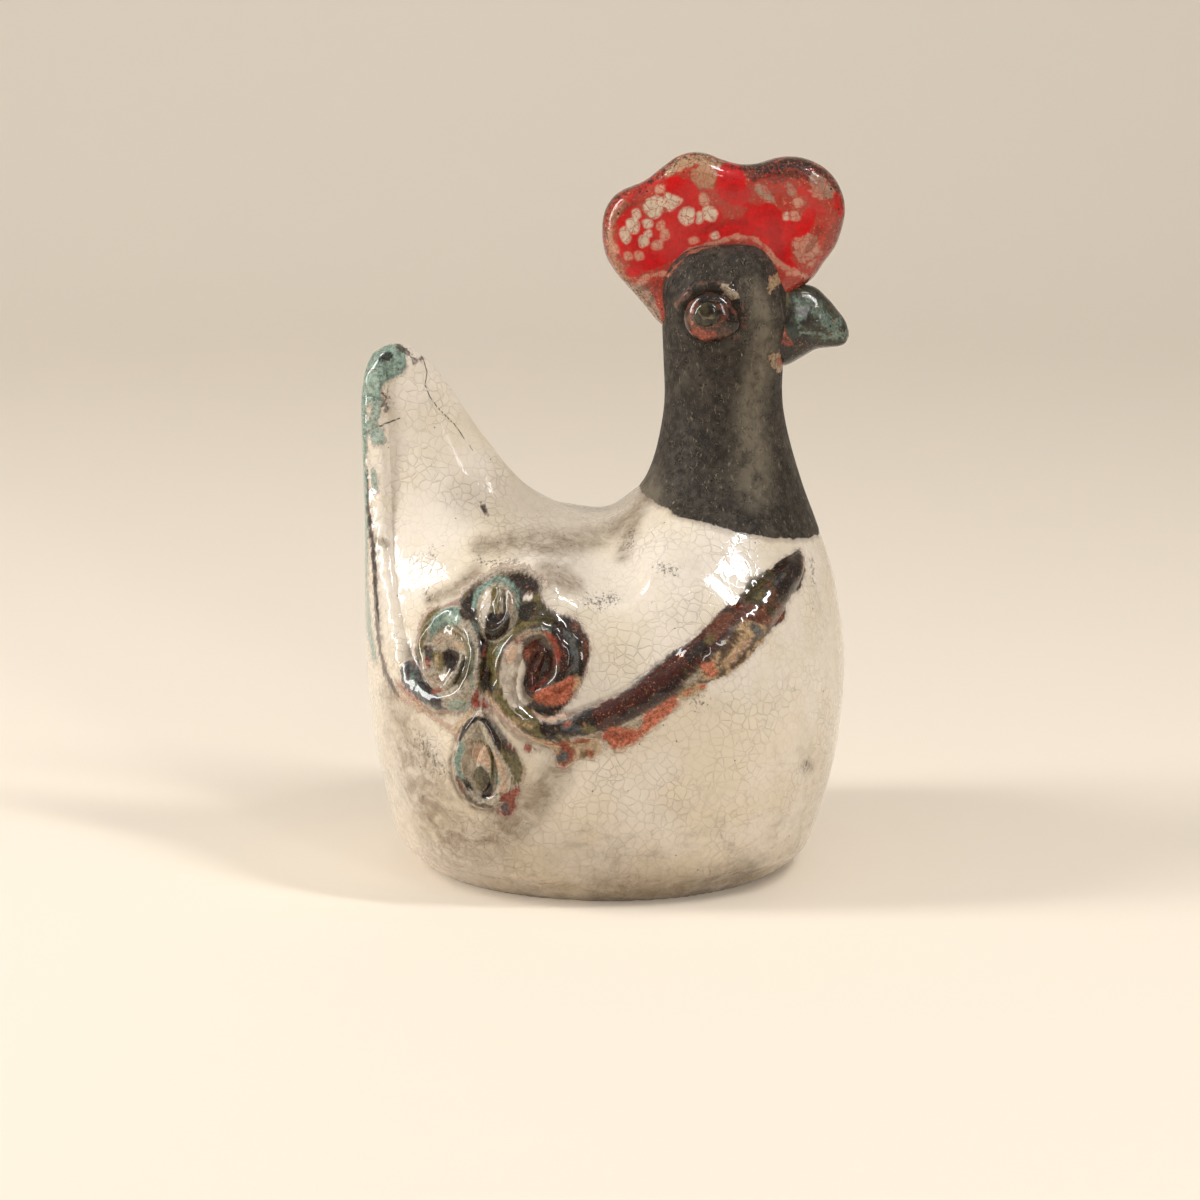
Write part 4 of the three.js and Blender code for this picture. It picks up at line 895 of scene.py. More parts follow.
def inside(u, v, marks):
    """How far each place lies inside the edge of a stroke or a patch."""
    if len(marks[0]) > 2:
        away, reach = to_stroke(u, v, marks)
        return reach - away
    marks = rounded(marks)
    away, within = np.full(len(u), 1e3), np.zeros(len(u), bool)
    for start, end in zip(marks, marks[1:] + marks[:1]):
        away = np.minimum(away, to_line(u, v, start, end)[0])
        crossing = (end[0] - start[0]) * (v - start[1]) / ((end[1] - start[1]) or 1e-9) + start[0]
        within ^= ((start[1] > v) != (end[1] > v)) & (u < crossing)
    return np.where(within, away, -away)


def grain(points, size, shift):
    """Smooth noise, about -0.5 to 0.5, of this size in millimetres at each point."""
    values = [noise.noise((x / size + shift, y / size, z / size)) for x, y, z in points.tolist()]
    return np.array(values) * 0.8


# How far a brushed glaze stains the cream round it, on the drawing
HALO = 5.0
# Glazes that cover a stain, that leave none, that melt to a dull crust and that are strong red, and how much
# copper sparkles in the others
CREAMS = ("cream", "cream_warm")
SMOKES = ("soot", "smoke")
DULL = ("coral", "crust", "rust", "blush")
STRONG_RED = ("red", "red_deep")
SPARKLE = {"oxblood": 1, "brown": 0.6, "near_black": 0.3, "rust": 0.5}


def brush_glazes(piece, colours, glazes=SKIN_GLAZES, ground="cream", soft=0.8):
    """Writes the brushed glazes on a piece, as far as they lie on the drawing, and the stains of the skin."""
    mesh = piece.data
    points = mesh_places(mesh)
    u, v = on_drawing(points)
    bare = points[:, 2] + GLAZE_LINE["slope"] * points[:, 0] > GLAZE_LINE["height"]
    bare &= (points[:, 0] > 0) & (ground == "cream")
    glaze = np.where(bare[:, None], colours.smoked_light, getattr(colours, ground))
    cover, dull, sparkle, strong_red, halo = np.zeros((5, len(u)))
    places_near = []
    for _, _, ragged, marks in glazes:
        edges = np.array(marks)
        pad = (edges[:, 2].max() if edges.shape[1] > 2 else 0) + ragged + HALO
        low, high = edges[:, :2].min(0) - pad, edges[:, :2].max(0) + pad
        places_near.append(np.flatnonzero((u > low[0]) & (u < high[0]) & (v > low[1]) & (v < high[1])))
    painted = np.unique(np.concatenate(places_near))
    break_up = np.zeros(len(u))
    break_up[painted] = grain(points[painted], 2.1, 3.0) + 0.7 * grain(points[painted], 0.8, 8.0)
    for (name, strength, ragged, marks), near in zip(glazes, places_near):
        depth = inside(u[near], v[near], marks) + break_up[near] * ragged
        laid = ease(depth, -soft, soft) * strength
        if name in CREAMS:
            halo[near] *= 1 - laid
        elif name not in SMOKES:
            halo[near] = np.maximum(halo[near], ease(depth, -HALO, 1) * strength)
        glaze[near] += (np.array(getattr(colours, name)) - glaze[near]) * laid[:, None]
        covered = 0 if name in CREAMS else 1
        for field, value in ((cover, covered), (dull, name in DULL), (sparkle, SPARKLE.get(name, 0)),
                             (strong_red, name in STRONG_RED)):
            field[near] += (value - field[near]) * laid
    layer = mesh.attributes.new("glaze", "FLOAT_COLOR", "POINT")
    layer.data.foreach_set("color", np.column_stack([glaze, np.ones(len(u))]).astype(np.float32).ravel())
    fields = {"cover": cover, "dull": dull, "sparkle": sparkle, "strong_red": strong_red, "halo": halo}
    for name, values in fields.items():
        write_field(mesh, name, values)
    if ground == "cream":
        for name, strokes in STAINS.items():
            write_field(mesh, name, stroke_field(u, v, strokes))
        write_field(mesh, "coil_gap", from_coil(points))


def finish_piece(piece, nodes):
    """Lets a piece stand for its CAD nodes: parents it to the root and hides the nodes."""
    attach(piece, "root")
    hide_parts(*nodes)


def skin_piece(sizes, start, end, rings, sides, refine=0.0):
    """The closed skin between two stations, uneven as the hand left it. It can be finer near the coils."""
    bm, share, turn = ball(rings, sides)
    along = start + (end - start) * share
    if refine:
        near = (from_coil(skin_round(along, turn)) < refine) & (np.abs(turn) < 2.9) & (np.abs(turn) > 0.1)
        kept = [bm.verts.layers.float.new(name) for name in ("along", "turn")]
        for vert, values in zip(bm.verts, zip(along.tolist(), turn.tolist())):
            vert[kept[0]], vert[kept[1]] = values
        chosen = {vert for vert, close in zip(bm.verts, near) if close}
        edges = [e for e in bm.edges if e.verts[0] in chosen and e.verts[1] in chosen]
        bmesh.ops.subdivide_edges(bm, edges=edges, cuts=1, use_grid_fill=True)
        kept = [bm.verts.layers.float[name] for name in ("along", "turn")]
        along, turn = np.array([(v[kept[0]], v[kept[1]]) for v in bm.verts]).T
        for name in ("along", "turn"):
            bm.verts.layers.float.remove(bm.verts.layers.float[name])
    move_to(bm, skin_round(along, turn))
    points = places(bm)
    push(bm, hand_marks(points, from_coil(points), sizes))
    return bm


def mirrored(bm):
    """The same mesh on the bird's other flank."""
    bmesh.ops.scale(bm, vec=(1, -1, 1), verts=bm.verts[:])
    bmesh.ops.reverse_faces(bm, faces=bm.faces[:])


FLANKS = ("right", "left")
# Where each coil narrows from its broad run to its turns, as shares of its length
SPREAD = {"rear": (0.42, 0.6), "front": (0.45, 0.6), "drop": (0.0, 0.01)}


def beside_coil(rows, share, along, across, reach):
    """Stations and places of points beside a coil's path, each at its reach from it in millimetres."""
    _, down, out, normal = skin_frame(along, across, -1)
    last = len(rows) - 1
    count = np.arange(len(rows))
    ahead, behind = (np.clip(share * last + step, 0, last) for step in (1, -1))
    ahead, behind = (skin(*(np.interp(at, count, rows[:, k]) for k in (0, 1)), -1) for at in (ahead, behind))
    run = ahead - behind
    run /= np.maximum(np.linalg.norm(run, axis=1, keepdims=True), 1e-9)
    beside = np.cross(normal, run)
    a, b, c = (down * down).sum(1), (down * out).sum(1), (out * out).sum(1)
    p, q = (beside * down).sum(1) * reach, (beside * out).sum(1) * reach
    whole = a * c - b * b
    return along + (p * c - q * b) / whole, across + (q * a - p * b) / whole


def coil(name, sizes, relief, sides=44):
    """A coil of clay along its path, and its points: a soft bell, or a flat strap on the rear coil's run."""
    rows, length = COILS[name]
    bm, share, turn = ball(max(24, int(length / sizes.coil_step * MM)), sides)
    last = len(rows) - 1
    along, across, width = (np.interp(share * last, np.arange(len(rows)), rows[:, k]) for k in range(3))
    near_end = np.minimum(share, 1 - share) * length / (0.5 * width)
    rounding = np.sqrt(np.clip(1 - (1 - np.clip(near_end, 0, 1)) ** 2, 0, 1))
    width = width * rounding
    broad = 1 - ease(share, *SPREAD[name])
    skirt = sizes.coil_skirt + (0.0 if name == "rear" else 0.12) * broad
    reach = np.cos(turn) * width / 2 * skirt
    base, _, _, up = skin_frame(*beside_coil(rows, share, along, across, reach), -1)
    off_middle = np.abs(np.cos(turn))
    form = (1 - off_middle**2.3) ** 1.35
    if name == "rear":
        form = form + (1 - off_middle**6 - form) * broad
    top = np.minimum(relief, width * 0.5) * form * np.sign(rounding)
    sink = sizes.coil_sink / MM
    height = np.where(np.sin(turn) >= -1e-6, top - sink, -sink - 1.4 * np.abs(np.sin(turn)) * rounding)
    return bm, base + up * (height + hand_marks(base, from_coil(base), sizes))[:, None]


# Recipes for the finishes

class Recipe:
    """A material whose nodes are added by short calls. Sizes are in millimetres."""

    def __init__(self, name):
        old = bpy.data.materials.get(name)
        if old:
            bpy.data.materials.remove(old)
        self.material = bpy.data.materials.new(name)
        self.material.use_nodes = True
        self.tree = self.material.node_tree
        self.tree.nodes.clear()
        self.place = self.add("ShaderNodeTexCoord").outputs["Object"]

    def add(self, kind, inputs=None, **settings):
        """A node with its settings, each input a number or another node's output."""
        node = self.tree.nodes.new(kind)
        for key, value in settings.items():
            setattr(node, key, value)
        for key, value in (inputs or {}).items():
            if isinstance(value, bpy.types.NodeSocket):
                self.tree.links.new(value, node.inputs[key])
            else:
                node.inputs[key].default_value = value
        return node

    def sum(self, operation, *values):
        """The result of a sum, such as ADD or MULTIPLY_ADD, on two or three values."""
        return self.add("ShaderNodeMath", dict(enumerate(values)), operation=operation).outputs[0]

    def times(self, first, second):
        """One value times the other."""
        return self.sum("MULTIPLY", first, second)

    def rest(self, share):
        """What is left of the whole beside a share."""
        return self.sum("SUBTRACT", 1.0, share)

    def noise(self, size, detail=3.0, rough=0.5, warp=0.0, stretch=(1, 1, 1), shift=0.0):
        """Cloudy noise, 0 to 1. A shift gives another cloud of the same kind."""
        scaled = self.add("ShaderNodeVectorMath", {0: self.place, 1: stretch, 2: (shift, shift, shift)},
                          operation="MULTIPLY_ADD").outputs[0]
        return self.add("ShaderNodeTexNoise", {"Vector": scaled, "Scale": 1 / (size * MM), "Detail": detail,
                                               "Roughness": rough, "Distortion": warp}).outputs[0]

    def warped(self, size, amount):
        """The place, shifted by noise of a size, by an amount in millimetres."""
        inputs = {"Vector": self.place, "Scale": 1 / (size * MM), "Detail": 2.0}
        shift = self.add("ShaderNodeTexNoise", inputs).outputs["Color"]
        return self.add("ShaderNodeVectorMath", {0: shift, 1: (2 * amount * MM,) * 3, 2: self.place},
                        operation="MULTIPLY_ADD").outputs[0]

    def cells(self, size, place=None, feature="F1"):
        """A net of irregular cells."""
        inputs = {"Vector": place or self.place, "Scale": 1 / (size * MM), "Randomness": 1.0}
        return self.add("ShaderNodeTexVoronoi", inputs, feature=feature)

    def field(self, name):
        """A number kept for each point of the mesh."""
        return self.add("ShaderNodeAttribute", attribute_name=name).outputs["Fac"]

    def glaze(self):
        """The colour of the brushed glazes."""
        return self.add("ShaderNodeAttribute", attribute_name="glaze").outputs["Color"]

    def rise(self, value, low, high, to_low=0.0, to_high=1.0):
        """A smooth step from one level at low to the other at high."""
        inputs = {"Value": value, "From Min": low, "From Max": high, "To Min": to_low, "To Max": to_high}
        return self.add("ShaderNodeMapRange", inputs, interpolation_type="SMOOTHSTEP").outputs[0]

    def blend(self, factor, first, second):
        """A colour between two, by a factor."""
        node = self.add("ShaderNodeMix", {0: factor}, data_type="RGBA")
        for index, value in ((6, first), (7, second)):
            if isinstance(value, bpy.types.NodeSocket):
                self.tree.links.new(value, node.inputs[index])
            else:
                node.inputs[index].default_value = (*value[:3], 1)
        return node.outputs[2]

    def scaled(self, colour, factor):
        """A colour made lighter or darker by a factor."""
        inputs = {0: colour, "Scale": factor}
        return self.add("ShaderNodeVectorMath", inputs, operation="SCALE").outputs[0]

    def level(self, factor, first, second):
        """A number between two, by a factor."""
        return self.add("ShaderNodeMix", {0: factor, 2: first, 3: second}, data_type="FLOAT").outputs[0]

    def dots(self, size, radius, share, place=None):
        """Small round dots in a share of the cells."""
        cells = self.cells(size, place)
        chosen = self.add("ShaderNodeSeparateColor", {0: cells.outputs["Color"]}).outputs[0]
        chosen = self.sum("LESS_THAN", chosen, share)
        spot = self.rise(cells.outputs["Distance"], radius * 1.25, radius * 0.75)
        return self.times(spot, chosen)

    def brushed(self, colours):
        """The brushed glazes, mottled and flecked as they melted, and the copper sparkle in them."""
        brushed = self.glaze()
        light = self.add("ShaderNodeRGBToBW", {0: brushed}).outputs[0]
        deep = self.rise(light, 0.6, 0.25, 0.2, 1.0)
        mottle = self.rise(self.noise(1.0, 5, 0.75, shift=6.6), 0.34, 0.66, 0.45, 1.4)
        mottle = self.level(deep, 1.05, mottle)
        mottled = self.scaled(brushed, mottle)
        for size, low, high, strength, shift, stain in (
            (0.8, 0.57, 0.64, 0.75, 8.6, colours.umber),
            (0.8, 0.42, 0.34, 0.3, 8.6, colours.blush_grey),
            (2.2, 0.58, 0.68, 0.5, 9.6, colours.brown),
            (2.4, 0.58, 0.68, 0.55, 10.6, colours.olive),
            (1.6, 0.6, 0.68, 0.4, 18.6, colours.copper),
        ):
            spots = self.rise(self.noise(size, 4, 0.75, shift=shift), low, high, 0, strength)
            mottled = self.blend(self.times(spots, deep), mottled, stain)
        flakes = self.dots(0.7, 0.32, 0.2, self.warped(0.8, 0.3))
        sparkle = self.times(flakes, self.field("sparkle"))
        sparkle = self.times(sparkle, self.rise(self.noise(6, 3, 0.6, shift=1.3), 0.42, 0.62))
        return self.blend(sparkle, mottled, colours.copper), sparkle

    def painted(self, colours, under, fine):
        """The brushed glazes over another colour, and the copper sparkle in them."""
        mottled, sparkle = self.brushed(colours)
        laid = self.rise(self.sum("MULTIPLY_ADD", fine, 0.6, self.field("cover")), 0.55, 0.95)
        return self.blend(laid, under, mottled), sparkle

    def finish(self, colour, rough, height, relief=0.3, metal=0.0, glass=0.0):
        """The shader: a body of this colour under a share of clear glass."""
        bump, glass_bump = (
            self.add("ShaderNodeBump", {"Strength": 1.0, "Distance": depth * MM, "Height": height}).outputs[0]
            for depth in (relief, relief * 0.25))
        shader = self.add("ShaderNodeBsdfPrincipled", {
            "Base Color": colour, "Roughness": rough, "Metallic": metal, "IOR": 1.22, "Normal": bump,
            "Coat Weight": glass, "Coat Roughness": 0.02, "Coat IOR": 1.45, "Coat Normal": glass_bump})
        self.add("ShaderNodeOutputMaterial", {"Surface": shader.outputs[0]})
        return self.material


def fired_skin(name, colours, sizes):
    """Crackle glaze with smoke and brushed glazes, and bare smoked clay above the glaze line."""
    r = Recipe(name)
    x, _, z = r.add("ShaderNodeSeparateXYZ", {0: r.place}).outputs
    fine = r.noise(1.2, 4, 0.65)
    medium = r.noise(4.5, 4, 0.6, shift=3.1)
    broad = r.noise(19, 3, 0.5, shift=7.7)

    # cream glaze, warmer and greyer by turns
    colour = r.blend(r.rise(broad, 0.35, 0.65), colours.cream, colours.cream_warm)
    colour = r.blend(r.rise(r.noise(8, 5, 0.65, shift=1.7), 0.48, 0.75, 0, 0.4), colour, colours.cream_grey)
    colour = r.blend(r.rise(fine, 0.5, 0.8, 0, 0.12), colour, colours.smoke)

    # the net of fine cracks
    net = r.cells(sizes.crackle_cell / MM, r.warped(5, 1.5), "DISTANCE_TO_EDGE").outputs["Distance"]
    line = r.rise(net, 0.06, 0.01)
    shown = r.rise(r.noise(11, 3, 0.6, shift=5.3), 0.35, 0.7, 0.04, 0.22)
    colour = r.blend(r.times(line, shown), colour, colours.crackle)

    # smoke drawn into the glaze
    streaks = r.noise(5.5, 6, 0.7, warp=0.6, stretch=(0.8, 1, 1.1))
    smoke = r.times(r.rise(r.field("smoke"), 0.05, 0.95), r.rise(streaks, 0.25, 0.7, 0.25, 1.0))
    # darker towards the bottom of the body: smoke near the foot, and painted shade on the low body
    low = r.sum("MULTIPLY_ADD", z, -7.0, streaks)
    low = r.rise(low, 0.3, 0.72, 0, 0.55)
    smoke = r.sum("MAXIMUM", smoke, low)
    colour = r.blend(smoke, colour, colours.smoke)
    sooty = r.times(smoke, r.rise(r.noise(2.0, 5, 0.7, shift=2.9), 0.45, 0.75, 0, 0.5))
    colour = r.blend(sooty, colour, colours.soot)

    # painted shade: faint grey on the saddle and the low body, where less light falls
    colour = r.blend(r.rise(r.field("shade"), 0.1, 0.9, 0, 0.32), colour, colours.smoke)

    # pinholes and speckles
    specks = r.dots(3.1, 0.075, 0.2)
    specks = r.sum("MAXIMUM", specks, r.times(r.dots(1.6, 0.14, 0.3), smoke))
    dirt = r.noise(0.9, 5, 0.75, shift=4.4, stretch=(1.1, 1, 0.8))
    dirt = r.sum("MULTIPLY_ADD", r.field("soot"), 0.3, dirt)
    dirt = r.rise(dirt, 0.72, 0.88, 0, 0.75)
    colour = r.blend(r.sum("MAXIMUM", r.times(specks, 0.75), dirt), colour, colours.soot)

    # glaze gathers darker in the groove beside a coil, and painted shade darkens it there as in a crease
    gap = r.field("coil_gap")
    groove = r.times(r.rise(gap, -0.8, 0.5), r.rise(gap, 2.4, 0.7))
    groove = r.times(groove, r.rise(medium, 0.3, 0.62, 0.1, 0.8))
    groove = r.times(groove, r.times(r.rise(x, 0.02, -0.004), r.rise(z, 0.092, 0.08)))
    groove = r.times(groove, r.rise(x, -0.056, -0.049))
    colour = r.blend(groove, colour, colours.groove)

    # long cracks in the tail
    crack = r.rise(r.sum("MULTIPLY_ADD", fine, 0.3, r.field("crack")), 0.86, 1.04)
    colour = r.blend(r.times(crack, 0.85), colour, colours.soot)

    # bare clay above the glaze line
    level = r.sum("MULTIPLY_ADD", x, GLAZE_LINE["slope"], z)
    level = r.sum("MULTIPLY_ADD", r.noise(5, 3, 0.6, shift=11), 0.0024, level)
    on_neck = r.rise(x, -0.004, 0.004)
    glaze_line = GLAZE_LINE["height"] * MM
    clay = r.times(r.rise(level, glaze_line - 0.00025, glaze_line + 0.00025), on_neck)
    rim = r.times(r.rise(level, glaze_line - 0.0015, glaze_line - 0.0002), on_neck)
    rim = r.times(rim, r.rest(clay))
    colour = r.blend(r.times(rim, 0.4), colour, colours.groove)
    bare, bare_rough, bare_height = clay_tones(r, colours)
    # painted light: the bare clay is paler on the neck's lit side, from the shade strokes
    neck_painted_light = r.times(r.rise(r.field("shade"), 0.1, 0.9), r.rise(medium, 0.3, 0.6, 0.15, 0.5))
    bare = r.blend(neck_painted_light, bare, colours.smoked_pale)
    colour = r.blend(clay, colour, bare)

    # the brushed glazes over all of it, with a rusty edge and a brown stain round them
    mottled, sparkle = r.brushed(colours)
    laid = r.rise(r.sum("MULTIPLY_ADD", fine, 0.4, r.field("cover")), 0.5, 0.8)
    stain = r.times(r.field("halo"), r.rise(r.noise(1.5, 5, 0.75, shift=19.5), 0.4, 0.66, 0.1, 0.8))
    colour = r.blend(r.times(stain, r.rest(clay)), colour, colours.groove)
    edge = r.times(laid, r.rest(laid))
    mottled = r.blend(r.times(edge, 2.6), mottled, colours.rust)
    colour = r.blend(laid, colour, mottled)
    dull = r.times(r.field("dull"), laid)
    clay = r.times(clay, r.rest(laid))

    rough = r.level(dull, r.rise(medium, 0.3, 0.7, 0.2, 0.34), 0.5)
    matte = r.rise(r.field("matte"), 0.2, 0.7, 0, 0.85)
    rough = r.level(matte, rough, 0.5)
    rough = r.level(clay, rough, bare_rough)
    glass = r.times(r.rest(clay), r.sum("MULTIPLY_ADD", dull, -0.7, 1.0))
    glass = r.times(glass, r.sum("MULTIPLY_ADD", smoke, -0.4, 1.0))
    glass = r.times(glass, r.rest(matte))
    metal = r.times(sparkle, 0.8)

    height = r.sum("MULTIPLY_ADD", line, -0.7, r.rise(net, 0.0, 0.3, 0.0, 0.3))
    height = r.times(height, r.rise(r.noise(16, 2, 0.5, shift=5.9), 0.35, 0.7, 0.15, 1.0))
    height = r.times(height, r.rest(laid))
    height = r.sum("MULTIPLY_ADD", r.noise(6, 2, 0.5, shift=2.1), 0.6, height)
    height = r.sum("MULTIPLY_ADD", specks, -0.6, height)
    height = r.sum("MULTIPLY_ADD", r.times(dull, fine), 1.6, height)
    height = r.sum("MULTIPLY_ADD", laid, 0.5, height)
    height = r.sum("MULTIPLY_ADD", rim, 0.8, height)
    height = r.sum("MULTIPLY_ADD", crack, -1.0, height)
    height = r.level(clay, height, bare_height)
    return r.finish(colour, rough, height, 0.2, metal, glass)


def clay_tones(r, colours):
    """Colour, roughness and height of bare clay blackened by smoke, with curled scratches and pits."""
    mottle = r.noise(2.2, 6, 0.75, shift=12.5)
    colour = r.blend(r.rise(mottle, 0.38, 0.66), colours.smoked, colours.smoked_light)
    colour = r.blend(r.rise(r.noise(8, 3, 0.6, shift=13.5), 0.5, 0.72, 0, 0.6), colour, colours.smoked_green)
    fleck = r.rise(r.noise(0.9, 4, 0.7, stretch=(1, 1, 0.3), shift=14.5), 0.58, 0.7, 0, 0.55)
    colour = r.blend(fleck, colour, colours.smoked_pale)
    bend = r.noise(1.7, 1, 0.5, warp=0.4, stretch=(1.2, 1, 0.8), shift=16.5)
    bend = r.sum("ABSOLUTE", r.sum("SUBTRACT", bend, 0.5))
    patches = r.noise(2.6, 2, 0.5, shift=17.5)
    curl = r.times(r.rise(bend, 0.02, 0.006), r.rise(patches, 0.5, 0.62))
    colour = r.blend(r.times(curl, 0.7), colour, colours.smoked_pale)
    groove = r.times(r.rise(bend, 0.05, 0.03), r.rise(patches, 0.45, 0.6))
    beside = r.times(r.sum("SUBTRACT", groove, curl), 0.8)
    pits = r.sum("MAXIMUM", r.dots(1.7, 0.16, 0.35), beside)
    colour = r.blend(r.times(pits, 0.85), colour, colours.smoked_dark)
    height = r.noise(0.9, 4, 0.7, stretch=(1, 1, 0.5), shift=15.5)
    height = r.sum("MULTIPLY_ADD", height, 1.4, r.times(pits, -0.8))
    height = r.sum("MULTIPLY_ADD", curl, 0.8, height)
    return colour, r.rise(mottle, 0.3, 0.7, 0.55, 0.38), height


def raw_foot(colours):
    """Pale fired clay under the foot."""
    r = Recipe("raw_foot_clay")
    grain = r.noise(1.1, 5, 0.7)
    colour = r.blend(r.rise(grain, 0.35, 0.7), colours.foot_clay, colours.crust)
    colour = r.blend(r.rise(r.noise(12, 4, 0.6), 0.45, 0.7, 0, 0.7), colour, colours.smoked_light)
    return r.finish(colour, 0.85, grain, 0.2)


def comb_red(colours):
    """Red glaze broken into cream islands by its cracks, with a dark speckled rim."""
    r = Recipe("comb_red_glaze")
    fine = r.noise(1.0, 5, 0.7)
    medium = r.noise(4, 4, 0.6, shift=2.5)
    rim = r.field("rim")
    mottle = r.rise(r.noise(1.6, 5, 0.7, shift=6.6), 0.3, 0.7, 0.8, 1.1)
    colour = r.scaled(r.glaze(), mottle)
    # red and pale specks wherever the glaze is thin
    thin = r.rest(r.rise(r.field("strong_red"), 0.1, 0.6))
    pale = r.rise(r.noise(0.8, 5, 0.8, shift=4.5), 0.56, 0.66, 0, 0.75)
    colour = r.blend(r.times(pale, thin), colour, colours.comb_pink)
    bled = r.sum("MULTIPLY_ADD", rim, -0.1, r.noise(0.9, 5, 0.8, shift=7.5))
    bled = r.rise(bled, 0.52, 0.6, 0, 0.75)
    colour = r.blend(r.times(bled, thin), colour, colours.red)
    net = r.cells(2.6, r.warped(5, 1.2), "DISTANCE_TO_EDGE").outputs["Distance"]
    colour = r.blend(r.times(r.rise(net, 0.07, 0.015, 0, 0.5), thin), colour, colours.rust)
    burnt = r.times(r.rise(fine, 0.58, 0.66, 0, 0.75), r.rise(rim, 0.05, 0.6))
    colour = r.blend(burnt, colour, colours.umber)
    dust = r.sum("MULTIPLY_ADD", r.noise(1.1, 5, 0.75, shift=6.5), 0.8, r.times(rim, 0.42))
    colour = r.blend(r.rise(dust, 0.76, 0.88, 0, 0.9), colour, colours.near_black)
    pinholes = r.times(r.dots(1.9, 0.17, 0.35), r.rise(rim, 0.1, 0.5))
    colour = r.blend(pinholes, colour, colours.near_black)
    height = r.sum("MULTIPLY_ADD", medium, 0.8, r.times(r.field("dull"), fine))
    return r.finish(colour, r.rise(fine, 0.3, 0.7, 0.2, 0.4), height, 0.3, 0.0, 1.0)


def beak_glaze(colours):
    """Green-black glaze with a turquoise bloom on its ridge and red and orange at its root."""
    r = Recipe("green_black_glaze")
    fine = r.noise(0.9, 5, 0.7)
    medium = r.noise(3.2, 4, 0.6, shift=3.5)
    under = r.blend(r.rise(medium, 0.4, 0.65), colours.near_black, colours.beak_green)
    colour, sparkle = r.painted(colours, under, fine)
    colour = r.blend(r.dots(1.3, 0.2, 0.3), colour, colours.near_black)
    height = r.sum("MULTIPLY_ADD", fine, 0.6, medium)
    metal = r.times(sparkle, 0.5)
    return r.finish(colour, r.rise(fine, 0.3, 0.7, 0.2, 0.4), height, 0.25, metal, 1.0)


def eye_glaze(colours, name, first, second):
    """Glossy dark glaze with a copper bloom, streaked from the pupil outwards."""
    r = Recipe(name)
    fine = r.noise(0.9, 4, 0.65)
    medium = r.noise(2.6, 4, 0.6, shift=1.5)
    under = r.blend(r.rise(medium, 0.4, 0.62), first, second)
    colour, sparkle = r.painted(colours, under, fine)
    height = r.sum("MULTIPLY_ADD", fine, 0.4, medium)
    metal = r.times(sparkle, 0.8)
    return r.finish(colour, r.rise(fine, 0.3, 0.7, 0.15, 0.3), height, 0.15, metal, 1.0)


# Settings that a user would change

def colour_setting(name, description, *levels):
    """A colour to choose, from its display values."""
    return bpy.props.FloatVectorProperty(
        name=name, description=description, subtype="COLOR", size=3, min=0, max=1, default=tone(*levels))


def length_setting(name, description, default, least=0.0):
    """A length to choose, in metres."""
    return bpy.props.FloatProperty(
        name=name, description=description, default=default, min=least, unit="LENGTH", precision=5)


def power_setting(name, description, default):
    """A lamp's power to choose, in watts."""
    return bpy.props.FloatProperty(name=name, description=description, default=default, min=0, unit="POWER")


